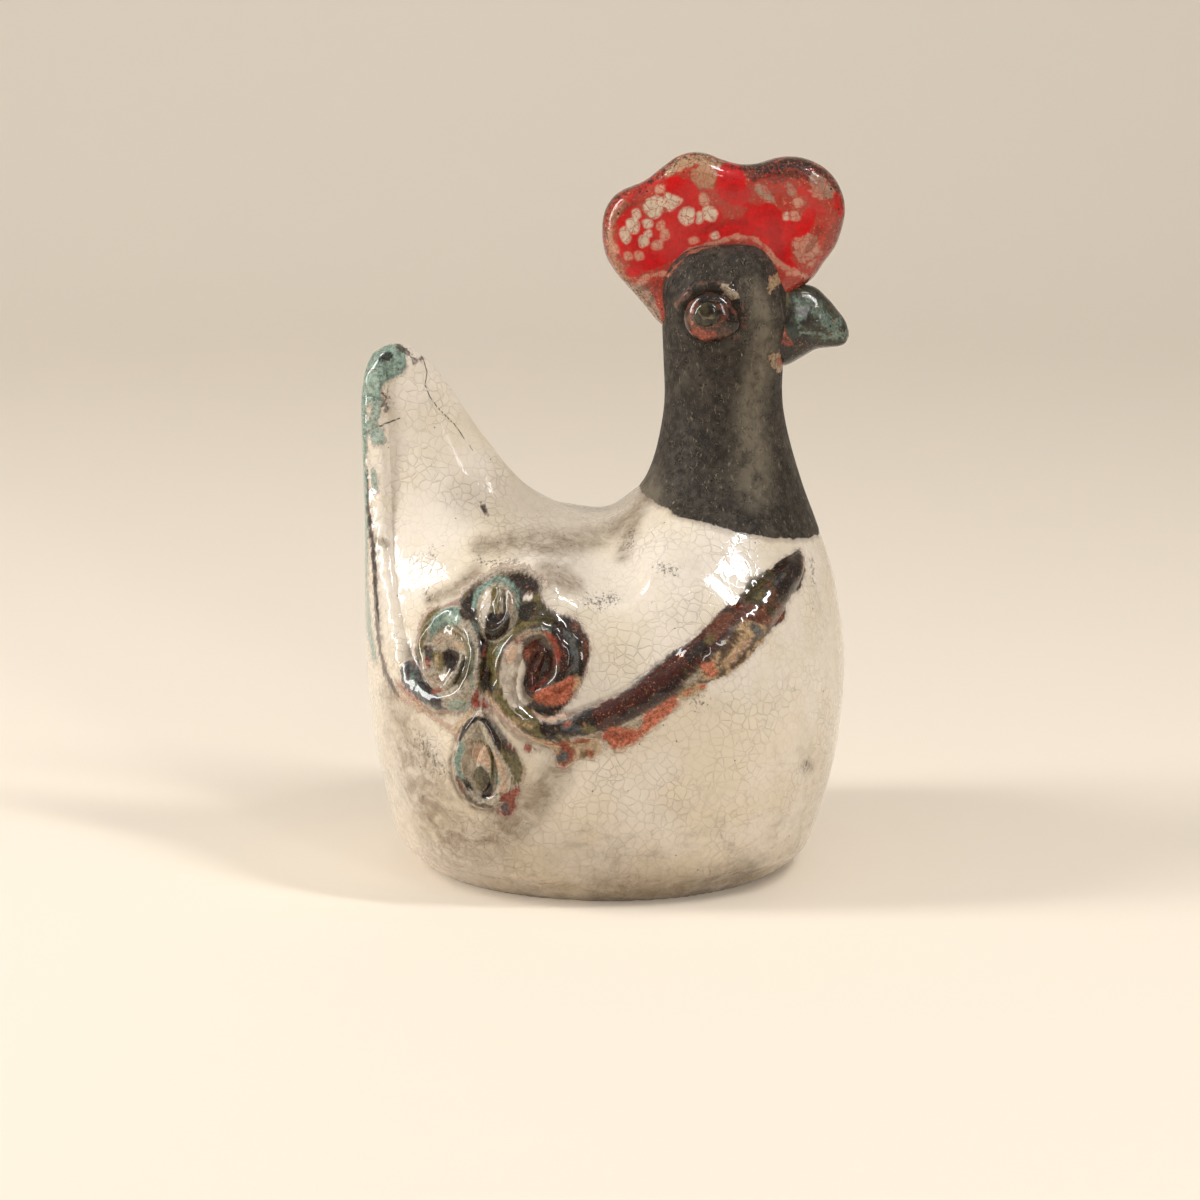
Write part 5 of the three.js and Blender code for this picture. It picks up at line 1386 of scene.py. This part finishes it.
class BIRD_PG_colours(bpy.types.PropertyGroup):
    """Colours of the clay and the glazes."""
    cream: colour_setting("Cream", "Main crackle glaze", 238, 226, 210)
    cream_warm: colour_setting("Warm cream", "Warmer parts of the crackle glaze", 232, 217, 193)
    cream_grey: colour_setting("Grey cream", "Greyer parts of the crackle glaze", 205, 193, 172)
    crackle: colour_setting("Crackle", "Stain in the net of cracks", 150, 125, 98)
    smoke: colour_setting("Smoke", "Smoke drawn into the glaze", 148, 130, 108)
    soot: colour_setting("Soot", "Speckles and soot", 62, 48, 38)
    groove: colour_setting("Groove", "Glaze gathered beside a coil", 104, 80, 56)
    turquoise: colour_setting("Turquoise", "Copper green glaze", 128, 152, 138)
    turquoise_pale: colour_setting("Pale turquoise", "Thin copper green glaze", 160, 178, 163)
    olive: colour_setting("Olive", "Olive glaze", 102, 92, 50)
    near_black: colour_setting("Near black", "Thick dark glaze", 30, 22, 17)
    umber: colour_setting("Umber", "Dark brown glaze", 64, 44, 32)
    dark_olive: colour_setting("Dark olive", "Olive glaze over black", 64, 58, 34)
    bottle: colour_setting("Bottle green", "Thin dark green glaze", 78, 84, 66)
    shell_grey: colour_setting("Shell grey", "Glassy grey glaze on the coils", 170, 157, 136)
    blush: colour_setting("Blush", "Pinkish beige glaze", 202, 166, 138)
    blush_grey: colour_setting("Blush grey", "Greyish beige glaze", 170, 150, 126)
    rust: colour_setting("Rust", "Red-brown flush", 148, 62, 44)
    brown: colour_setting("Brown", "Brown in the dark glaze", 102, 58, 40)
    blue_grey: colour_setting("Blue grey", "Blue-grey patches in the dark glaze", 84, 88, 88)
    oxblood: colour_setting("Oxblood", "Deep red-brown glaze", 68, 28, 19)
    copper: colour_setting("Copper", "Copper sparkle", 214, 138, 96)
    coral: colour_setting("Coral", "Coral red glaze", 198, 112, 84)
    crust: colour_setting("Crust", "Granular beige crust", 188, 158, 120)
    smoked: colour_setting("Smoked clay", "Bare clay blackened by smoke", 46, 41, 36)
    smoked_light: colour_setting("Light smoked clay", "Lighter mottling", 76, 69, 61)
    smoked_green: colour_setting("Green smoked clay", "Greenish-grey mottling", 86, 79, 69)
    smoked_pale: colour_setting("Pale flecks", "Beige flecks on the smoked clay", 150, 138, 118)
    smoked_dark: colour_setting("Pits", "Pits in the smoked clay", 24, 21, 18)
    foot_clay: colour_setting("Foot clay", "Raw clay under the foot", 196, 174, 146)
    red: colour_setting("Red", "Comb glaze", 204, 4, 6)
    red_deep: colour_setting("Deep red", "Thick comb glaze", 176, 4, 6)
    red_pale: colour_setting("Pale red", "Thin comb glaze", 178, 60, 44)
    comb_cream: colour_setting("Comb cream", "Cream islands in the comb", 222, 205, 178)
    comb_pink: colour_setting("Comb pink", "Pinkish islands in the comb", 212, 160, 132)
    beak_green: colour_setting("Beak green", "Green-black beak glaze", 52, 62, 54)


class BIRD_PG_sizes(bpy.types.PropertyGroup):
    """Sizes of the surface and the coils."""
    crackle_cell: length_setting("Crackle cell", "Size of the cells in the net of cracks", 0.0025, 0.001)
    unevenness: length_setting("Unevenness", "Depth of the marks the hand left in the wall", 0.0005)
    drawn_up: length_setting("Clay drawn up", "How far the wall rises towards a coil", 0.0006)
    coil_skirt: bpy.props.FloatProperty(
        name="Coil skirt", description="Spread of a coil's smoothed edge, in coil widths",
        default=1.4, min=1, max=2)
    coil_sink: length_setting("Coil sink", "Depth of a coil's edge in the wall", 0.00018)
    coil_step: length_setting("Coil step", "Distance between the rings of a coil's mesh", 0.0006, 0.0002)
    rear_relief: length_setting("Rear relief", "Height of the rear coil", 0.0027)
    front_relief: length_setting("Front relief", "Height of the front coil", 0.0028)


class BIRD_PG_stage(bpy.types.PropertyGroup):
    """Lights, floor and camera."""
    left_power: power_setting("Left window", "Power of the tall window on the left", 10.0)
    right_power: power_setting("Right window", "Power of the window on the right", 4.2)
    front_power: power_setting("Front window", "Power of the narrow window beside the camera", 1.4)
    top_power: power_setting("Top light", "Power of the soft light overhead", 3.5)
    room: bpy.props.FloatProperty(
        name="Room light", description="Strength of the light from all round", default=0.28, min=0)
    floor_colour: colour_setting("Floor", "Floor and backdrop", 238, 227, 211)
    backdrop_glow: bpy.props.FloatProperty(
        name="Backdrop glow", description="Brightness added to the backdrop's look", default=0.13, min=0)
    distance: length_setting("Camera distance", "Distance from the camera to the bird", 1.3, 0.3)
    elevation: bpy.props.FloatProperty(
        name="Camera height", description="Angle at which the camera looks down",
        default=math.radians(13.5), subtype="ANGLE")


def settings(context):
    """The scene's colours, sizes and stage settings."""
    scene = context.scene
    return scene.bird_colours, scene.bird_sizes, scene.bird_stage


def skin_glaze(context, name):
    """The skin's material under this name, made once."""
    colours, sizes, _ = settings(context)
    return bpy.data.materials.get(name) or fired_skin(name, colours, sizes)


def under(joint):
    """The same plane, with its other side as the one to cut away."""
    return {"point": joint["point"], "outward": tuple(-v for v in joint["outward"])}


def cut_and_glaze(context, bm, name, joints, node):
    """Cuts a stretch of the skin at its joints, glazes it and lets it stand for its CAD node."""
    keep_normals(bm)
    for joint in joints:
        slice_off(bm, **joint)
    piece = piece_from(bm, name, [skin_glaze(context, "cream_crackle")])
    shade_as_one(piece)
    brush_glazes(piece, context.scene.bird_colours)
    finish_piece(piece, [node])


def lay_on_flank(bm, points, flank, label, node, material, slot, *paint):
    """Puts a piece on one flank, mirrored for the left, glazes it and lets it stand for its CAD node."""
    move_to(bm, points)
    if flank == "left":
        mirrored(bm)
    piece = piece_from(bm, f"{label}_{flank}", [material])
    brush_glazes(piece, *paint)
    finish_piece(piece, [f"{node}_{flank}"])


# One operator for each piece or group of like pieces

class BIRD_OT_floor(bpy.types.Operator):
    """Make the clay floor with its rounded foot and its vent"""
    bl_idname = "bird.make_floor"
    bl_label = "Floor and foot"

    def execute(self, context):
        colours, sizes, _ = settings(context)
        bm = skin_piece(sizes, start=6.6, end=12.6, rings=180, sides=240)
        keep_normals(bm)
        above = slice_off(bm, **FLOOR_JOINT, close=False)
        below = slice_off(bm, **under(FOOT_PLANE), close=False)
        rings = []
        for joint in (FLOOR_JOINT, FOOT_PLANE):
            centre = Matrix.Translation(Vector((VENT["x"], 0, joint["point"][1])) * MM)
            made = bmesh.ops.create_circle(bm, segments=48, radius=VENT["radius"] * MM, matrix=centre)
            rings.append(made["verts"])
        top, bottom = (list({e for v in ring for e in v.link_edges}) for ring in rings)
        above = [e for e in above if e.is_valid]
        below = [e for e in below if e.is_valid]
        for first, second in ((above, top), (top, bottom), (bottom, below)):
            mark_cut(bm, bmesh.ops.bridge_loops(bm, edges=first + second)["faces"])
        piece = piece_from(bm, "Floor", [skin_glaze(context, "cream_crackle"), raw_foot(colours)])
        shade_as_one(piece, bare_material=1)
        brush_glazes(piece, colours)
        finish_piece(piece, ["base_slab"])
        return {"FINISHED"}


class BIRD_OT_body(bpy.types.Operator):
    """Make the hollow body's wall"""
    bl_idname = "bird.make_body"
    bl_label = "Body"

    def execute(self, context):
        sizes = context.scene.bird_sizes
        bm = skin_piece(sizes, start=2.6, end=17.2, rings=230, sides=230, refine=6.0)
        joints = [under(FLOOR_JOINT), TAIL_JOINT, NECK_JOINT]
        cut_and_glaze(context, bm, "Body", joints, "body_shell")
        return {"FINISHED"}


class BIRD_OT_tail(bpy.types.Operator):
    """Make the flattened tail fin"""
    bl_idname = "bird.make_tail"
    bl_label = "Tail"

    def execute(self, context):
        bm = skin_piece(context.scene.bird_sizes, start=0.0, end=6.5, rings=260, sides=200)
        cut_and_glaze(context, bm, "Tail", [under(TAIL_JOINT)], "tail")
        return {"FINISHED"}


class BIRD_OT_neck(bpy.types.Operator):
    """Make the bare neck and head, with the clay collars round the eyes"""
    bl_idname = "bird.make_neck"
    bl_label = "Neck and head"

    def execute(self, context):
        bm = skin_piece(context.scene.bird_sizes, start=12.6, end=22.0, rings=320, sides=220)
        x, y, z = places(bm).T
        x, z = x - COLLAR["centre"][0], z - COLLAR["centre"][1]
        away = np.hypot(x, z)
        fade = 0.35 + 0.65 * ease(np.cos(np.arctan2(z, x) - math.radians(80)), -0.6, 0.5)
        ridge = np.exp(-((away - COLLAR["radius"]) / COLLAR["width"]) ** 2) * fade
        socket = COLLAR["depth"] * np.exp(-(away / COLLAR["socket"]) ** 4)
        push(bm, (ridge - socket) * ease(np.abs(y), 6, 11))
        cut_and_glaze(context, bm, "Neck_and_head", [under(NECK_JOINT)], "neck_and_head")
        return {"FINISHED"}


class BIRD_OT_comb(bpy.types.Operator):
    """Make the thick comb with its rounded rim"""
    bl_idname = "bird.make_comb"
    bl_label = "Comb"

    def execute(self, context):
        colours, _, _ = settings(context)
        thick = (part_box("comb")[1].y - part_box("comb")[0].y) / MM
        outline = np.array(COMB_OUTLINE)
        outline[:, 1] *= np.where(outline[:, 1] > 0, COMB_RISE, 1)
        outline += CROWN
        around = np.concatenate([outline[-1:], outline, outline[:2]])
        bm, share, turn = ball(rings=190, sides=420)
        edge = follow(around, 1 + (turn / (2 * math.pi)) % 1 * len(outline))
        centre = np.array([CROWN[0] - 1, CROWN[1] + 1.5])
        q = 1 - np.abs(2 * share - 1)
        reach = 1 - (1 - q) ** 1.7
        flat = centre + (edge - centre) * reach[:, None]
        inset = (1 - reach) * np.linalg.norm(edge - centre, axis=1)
        bow = np.sqrt(np.clip(1 - (1 - np.clip(inset / COMB_RIM, 0, 1)) ** 2, 0, 1))
        swell = 1 - 0.09 * ease(inset, 5, 14) + 0.03 * np.sin(flat[:, 0] / 4.1) * np.sin(flat[:, 1] / 3.7)
        y = np.sign(share - 0.5) * thick / 2 * np.minimum(bow * swell, 1)
        move_to(bm, np.stack([flat[:, 0], y, flat[:, 1]], 1))
        piece = piece_from(bm, "Comb", [comb_red(colours)])
        write_field(piece.data, "rim", 1 - ease(inset, 0.0, 7.0))
        brush_glazes(piece, colours, COMB_GLAZES, "red_pale", soft=1.4)
        finish_piece(piece, ["comb"])
        return {"FINISHED"}


class BIRD_OT_beak(bpy.types.Operator):
    """Make the glazed drooping beak"""
    bl_idname = "bird.make_beak"
    bl_label = "Beak"

    def execute(self, context):
        colours, _, _ = settings(context)
        bm, share, turn = ball(rings=150, sides=120)
        rows = follow(BEAK_SECTIONS, share**0.9 * (len(BEAK_SECTIONS) - 1))
        rounding = np.sqrt(np.clip(share / 0.02, 0, 1))
        tall, wide = rows[:, 2] * BEAK["height"] / 2 * rounding, rows[:, 3] * BEAK["width"] / 2 * rounding
        up = np.sin(turn)
        x = BEAK["x"] + rows[:, 0] * BEAK["length"]
        ridge = 1 - 0.14 * np.clip(up, 0, 1) * ease(rows[:, 0], 0, 0.5)
        y = np.cos(turn) * wide * ridge
        move_to(bm, np.stack([x, y, BEAK["z"] + rows[:, 1] + up * tall], 1))
        x, y, z = places(bm).T
        away = np.hypot(x - NOSTRIL["x"], z - NOSTRIL["z"])
        nostril = 0.28 * np.exp(-((away - NOSTRIL["ring"]) / 0.6) ** 2)
        nostril = nostril - 0.3 * np.exp(-(away / NOSTRIL["hole"]) ** 2)
        below = z - MOUTH["z"] + MOUTH["fall"] * (x - MOUTH["x"])
        mouth = MOUTH["depth"] * np.exp(-(below / MOUTH["width"]) ** 2) * ease(x, 54, 57)
        push(bm, (nostril - mouth) * ease(np.abs(y), 1.5, 3.5))
        piece = piece_from(bm, "Beak", [beak_glaze(colours)])
        brush_glazes(piece, colours, BEAK_GLAZES, "near_black")
        finish_piece(piece, ["beak"])
        return {"FINISHED"}


class BIRD_OT_coils(bpy.types.Operator):
    """Make the front and rear scrolls and the drop-shaped rim on both flanks"""
    bl_idname = "bird.make_coils"
    bl_label = "Coils"

    def execute(self, context):
        colours, sizes, _ = settings(context)
        for name, node, label, relief, slot in (
            ("rear", "rear_scroll", "Rear_scroll", sizes.rear_relief, "olive_glaze"),
            ("front", "front_scroll", "Front_scroll", sizes.front_relief, "oxblood_glaze"),
            ("drop", "drop_rim", "Drop_rim", sizes.rear_relief * 0.8, "olive_glaze"),
        ):
            for flank in FLANKS:
                bm, points = coil(name, sizes, relief / MM)
                glaze = skin_glaze(context, "melted_glazes")
                lay_on_flank(bm, points, flank, label, node, glaze, slot, colours)
        return {"FINISHED"}


def pellet(place, wide, tall, relief, lean, rings, sides, form=None):
    """A pellet pressed on the skin: its mesh, each point's foot on the skin, the way out and its height."""
    bm, share, turn = ball(rings, sides)
    _, down, out, normal = (v[0] for v in skin_frame(np.array([place[0]]), np.array([place[1]]), -1))
    up = np.array([math.sin(math.radians(lean)), 0, math.cos(math.radians(lean))])
    up = up - normal * up.dot(normal)
    up /= np.linalg.norm(up)
    beside = np.cross(normal, up)
    beside *= np.sign(beside[0]) or 1
    reach = np.sin(share * math.pi)
    over = share >= 0.5
    a = np.cos(turn) * reach
    b = np.sin(turn) * reach
    height = np.where(over, np.sqrt(np.clip(1 - reach**2, 0, 1)) ** 0.9, 0)
    if form:
        a, b, height = form(a, b, height, reach, over)
    offset = a[:, None] * wide / 2 * beside + b[:, None] * tall / 2 * up
    grid = np.stack([down, out], 1)
    change = offset @ np.linalg.pinv(grid).T
    base, _, _, away = skin_frame(place[0] + change[:, 0], place[1] + change[:, 1], -1)
    lift = np.where(over, height * relief - 0.15, -0.15 - 1.2 * np.sqrt(np.clip(1 - reach**2, 0, 1)))
    return bm, base, away, lift


class BIRD_OT_pellets(bpy.types.Operator):
    """Make the oval bud and the pellet inside the drop on both flanks"""
    bl_idname = "bird.make_pellets"
    bl_label = "Bud and pellet"

    def execute(self, context):
        colours, sizes, _ = settings(context)

        def bud_form(a, b, height, reach, over):
            lip = 0.95 * np.exp(-((reach - 0.74) / 0.17) ** 2)
            bowl = (0.62 - 0.42 * (1 - ease(b, -0.45, 0.2))) * (1 - ease(reach, 0.45, 0.8))
            ridge = 0.34 * np.exp(-((a - 0.06 + 0.1 * b) / 0.13) ** 2)
            ridge = ridge * ease(b, -0.35, 0.1) * (1 - ease(reach, 0.5, 0.85))
            return a, b, np.where(over, (lip + bowl + ridge) * np.sqrt(np.clip(1 - reach**6, 0, 1)), height)

        for flank in FLANKS:
            for node, label, size, form, slot in (
                ("bud", "Bud", BUD, bud_form, "olive_glaze"),
                ("drop_pellet", "Drop_pellet", DROP_PELLET, None, "black_glaze"),
            ):
                bm, base, away, lift = pellet(**size, rings=64, sides=72, form=form)
                lift = lift + hand_marks(base, from_coil(base), sizes)
                glaze = skin_glaze(context, "melted_glazes")
                lay_on_flank(bm, base + away * lift[:, None], flank, label, node, glaze, slot, colours)
        return {"FINISHED"}


class BIRD_OT_eyes(bpy.types.Operator):
    """Make the glazed eyes and their pupils"""
    bl_idname = "bird.make_eyes"
    bl_label = "Eyes"

    def execute(self, context):
        colours, _, _ = settings(context)
        glaze = eye_glaze(colours, "eye_glaze", colours.near_black, colours.brown)
        dark = eye_glaze(colours, "pupil_glaze", colours.near_black, colours.dark_olive)

        def corner(a, b, height, reach, over):
            turn = np.arctan2(b, a)
            point = 1 + 0.16 * np.exp(-((turn + 0.3) / 0.35) ** 2) * reach
            return a * point, b * point, height

        for flank in FLANKS:
            for node, label, size, lifted, material, form, slot, paint in (
                ("eye", "Eye", EYE, 0.0, glaze, corner, "oxblood_glaze", EYE_GLAZES),
                ("pupil", "Pupil", PUPIL, PUPIL_LIFT, dark, None, "black_glaze", PUPIL_GLAZES),
            ):
                bm, base, away, lift = pellet(**size, rings=60, sides=84, form=form)
                points = base + away * (lift + lifted)[:, None]
                lay_on_flank(bm, points, flank, label, node, material, slot, colours, paint, "near_black")
        return {"FINISHED"}


# The stage's floor, and the quarter round in which it turns up into the backdrop, in metres. Half of the
# sheet's run is given, then the part that lies flat and the part that bends.
FLOOR_START = -3.4
HALF_RUN = 3.2
FLOOR_RUN = 4.2
SWEEP_RUN = 0.9
SWEEP_RADIUS = 0.573
# The floor's second colour and the lamps' colour in linear light, the point in metres that the lamps face,
# and the lens in millimetres
FLOOR_MOTTLE = (0.8, 0.74, 0.65)
LAMP_COLOUR = (1.0, 0.985, 0.965)
LAMPS_AIM = (0, 0, 0.08)
LENS = 141.8


class BIRD_OT_stage(bpy.types.Operator):
    """Make the floor, the windows and the camera"""
    bl_idname = "bird.make_stage"
    bl_label = "Stage"

    def execute(self, context):
        stage = context.scene.bird_stage
        bm = bmesh.new()
        bmesh.ops.create_grid(bm, x_segments=2, y_segments=96, size=1)
        for vert in bm.verts:
            run = (vert.co.y + 1) * HALF_RUN
            turn = max(0.0, min(run - FLOOR_RUN, SWEEP_RUN)) / SWEEP_RUN * math.pi / 2
            rise = max(0.0, run - FLOOR_RUN - SWEEP_RUN) * 3
            y = FLOOR_START + min(run, FLOOR_RUN) + SWEEP_RADIUS * math.sin(turn)
            vert.co = Vector((vert.co.x * 5, y, SWEEP_RADIUS * (1 - math.cos(turn)) + rise))
        floor = piece_from(bm, "Floor_and_backdrop", [self.floor_finish(stage)])
        for name, place, size, power in (
            ("Left_window", (-0.99, -0.13, 0.56), (0.2, 1.0), stage.left_power),
            ("Right_window", (0.55, -0.31, 0.9), (0.08, 0.36), stage.right_power),
            ("Top_light", (0.0, -0.5, 1.8), (2.4, 1.8), stage.top_power),
            ("Front_window", (0.45, -0.88, 0.56), (0.07, 0.5), stage.front_power),
        ):
            self.lamp(name, Vector(place), size, power)
        world = bpy.data.worlds.get("Studio") or bpy.data.worlds.new("Studio")
        world.use_nodes = True
        background = world.node_tree.nodes["Background"]
        background.inputs["Color"].default_value = (*LAMP_COLOUR, 1)
        background.inputs["Strength"].default_value = stage.room
        context.scene.world = world
        context.scene.view_settings.view_transform = "Standard"
        data = bpy.data.cameras.new("View")
        data.sensor_width, data.lens, data.clip_start = 36, LENS, 0.05
        camera = bpy.data.objects.new("View", data)
        back = Vector((0, -math.cos(stage.elevation), math.sin(stage.elevation))) * stage.distance
        camera.location = Vector((DRAWING["middle"][0], 0, DRAWING["middle"][1])) * MM + back
        camera.rotation_euler = (math.pi / 2 - stage.elevation, 0, 0)
        context.scene.collection.objects.link(camera)
        context.scene.camera = camera
        return {"FINISHED"}

    def floor_finish(self, stage):
        """A matt pale floor, a little brighter to the camera than its light makes it."""
        r = Recipe("pale_floor")
        colour = r.blend(r.rise(r.noise(60, 3), 0.3, 0.7, 0, 0.1), stage.floor_colour, FLOOR_MOTTLE)
        material = r.finish(colour, 0.8, r.noise(2, 3), 0.02)
        ray = r.add("ShaderNodeLightPath").outputs
        seen = r.sum("MAXIMUM", ray["Is Camera Ray"], ray["Is Glossy Ray"])
        seen = r.sum("MAXIMUM", seen, ray["Is Transmission Ray"])
        shader = next(node for node in r.tree.nodes if node.type == "BSDF_PRINCIPLED")
        shader.inputs["Emission Color"].default_value = (*stage.floor_colour, 1)
        r.tree.links.new(r.times(seen, stage.backdrop_glow), shader.inputs["Emission Strength"])
        return material

    def lamp(self, name, place, size, power):
        """A window of light that faces the bird."""
        data = bpy.data.lights.new(name, "AREA")
        data.shape, data.size, data.size_y, data.energy = "RECTANGLE", size[0], size[1], power
        data.color = LAMP_COLOUR
        lamp = bpy.data.objects.new(name, data)
        lamp.location = place
        lamp.rotation_euler = (Vector(LAMPS_AIM) - place).to_track_quat("-Z", "Y").to_euler()
        bpy.context.scene.collection.objects.link(lamp)


class BIRD_PT_panel(bpy.types.Panel):
    """Lists the bird's pieces and settings"""
    bl_idname = "BIRD_PT_panel"
    bl_label = "Clay bird"
    bl_space_type = "VIEW_3D"
    bl_region_type = "UI"
    bl_category = "Clay bird"

    def draw(self, context):
        for operator in STEPS:
            self.layout.operator(operator.bl_idname)
        for group in settings(context):
            box = self.layout.box()
            for name in group.bl_rna.properties.keys():
                if name not in ("rna_type", "name"):
                    box.prop(group, name)


STEPS = (BIRD_OT_stage, BIRD_OT_body, BIRD_OT_floor, BIRD_OT_tail, BIRD_OT_neck, BIRD_OT_comb, BIRD_OT_beak,
         BIRD_OT_coils, BIRD_OT_pellets, BIRD_OT_eyes)
GROUPS = (("bird_colours", BIRD_PG_colours), ("bird_sizes", BIRD_PG_sizes), ("bird_stage", BIRD_PG_stage))


def register():
    """Adds the settings, the operators and the panel."""
    for name, group in GROUPS:
        bpy.utils.register_class(group)
        setattr(bpy.types.Scene, name, bpy.props.PointerProperty(type=group))
    for part in (*STEPS, BIRD_PT_panel):
        bpy.utils.register_class(part)


def unregister():
    """Takes them away again, in the other order."""
    for part in reversed((*STEPS, BIRD_PT_panel)):
        bpy.utils.unregister_class(part)
    for name, group in reversed(GROUPS):
        delattr(bpy.types.Scene, name)
        bpy.utils.unregister_class(group)


def main():
    """Builds the whole bird with its own operators."""
    register()
    for step in STEPS:
        getattr(bpy.ops.bird, step.bl_idname.removeprefix("bird."))()


if __name__ == "__main__":
    main()
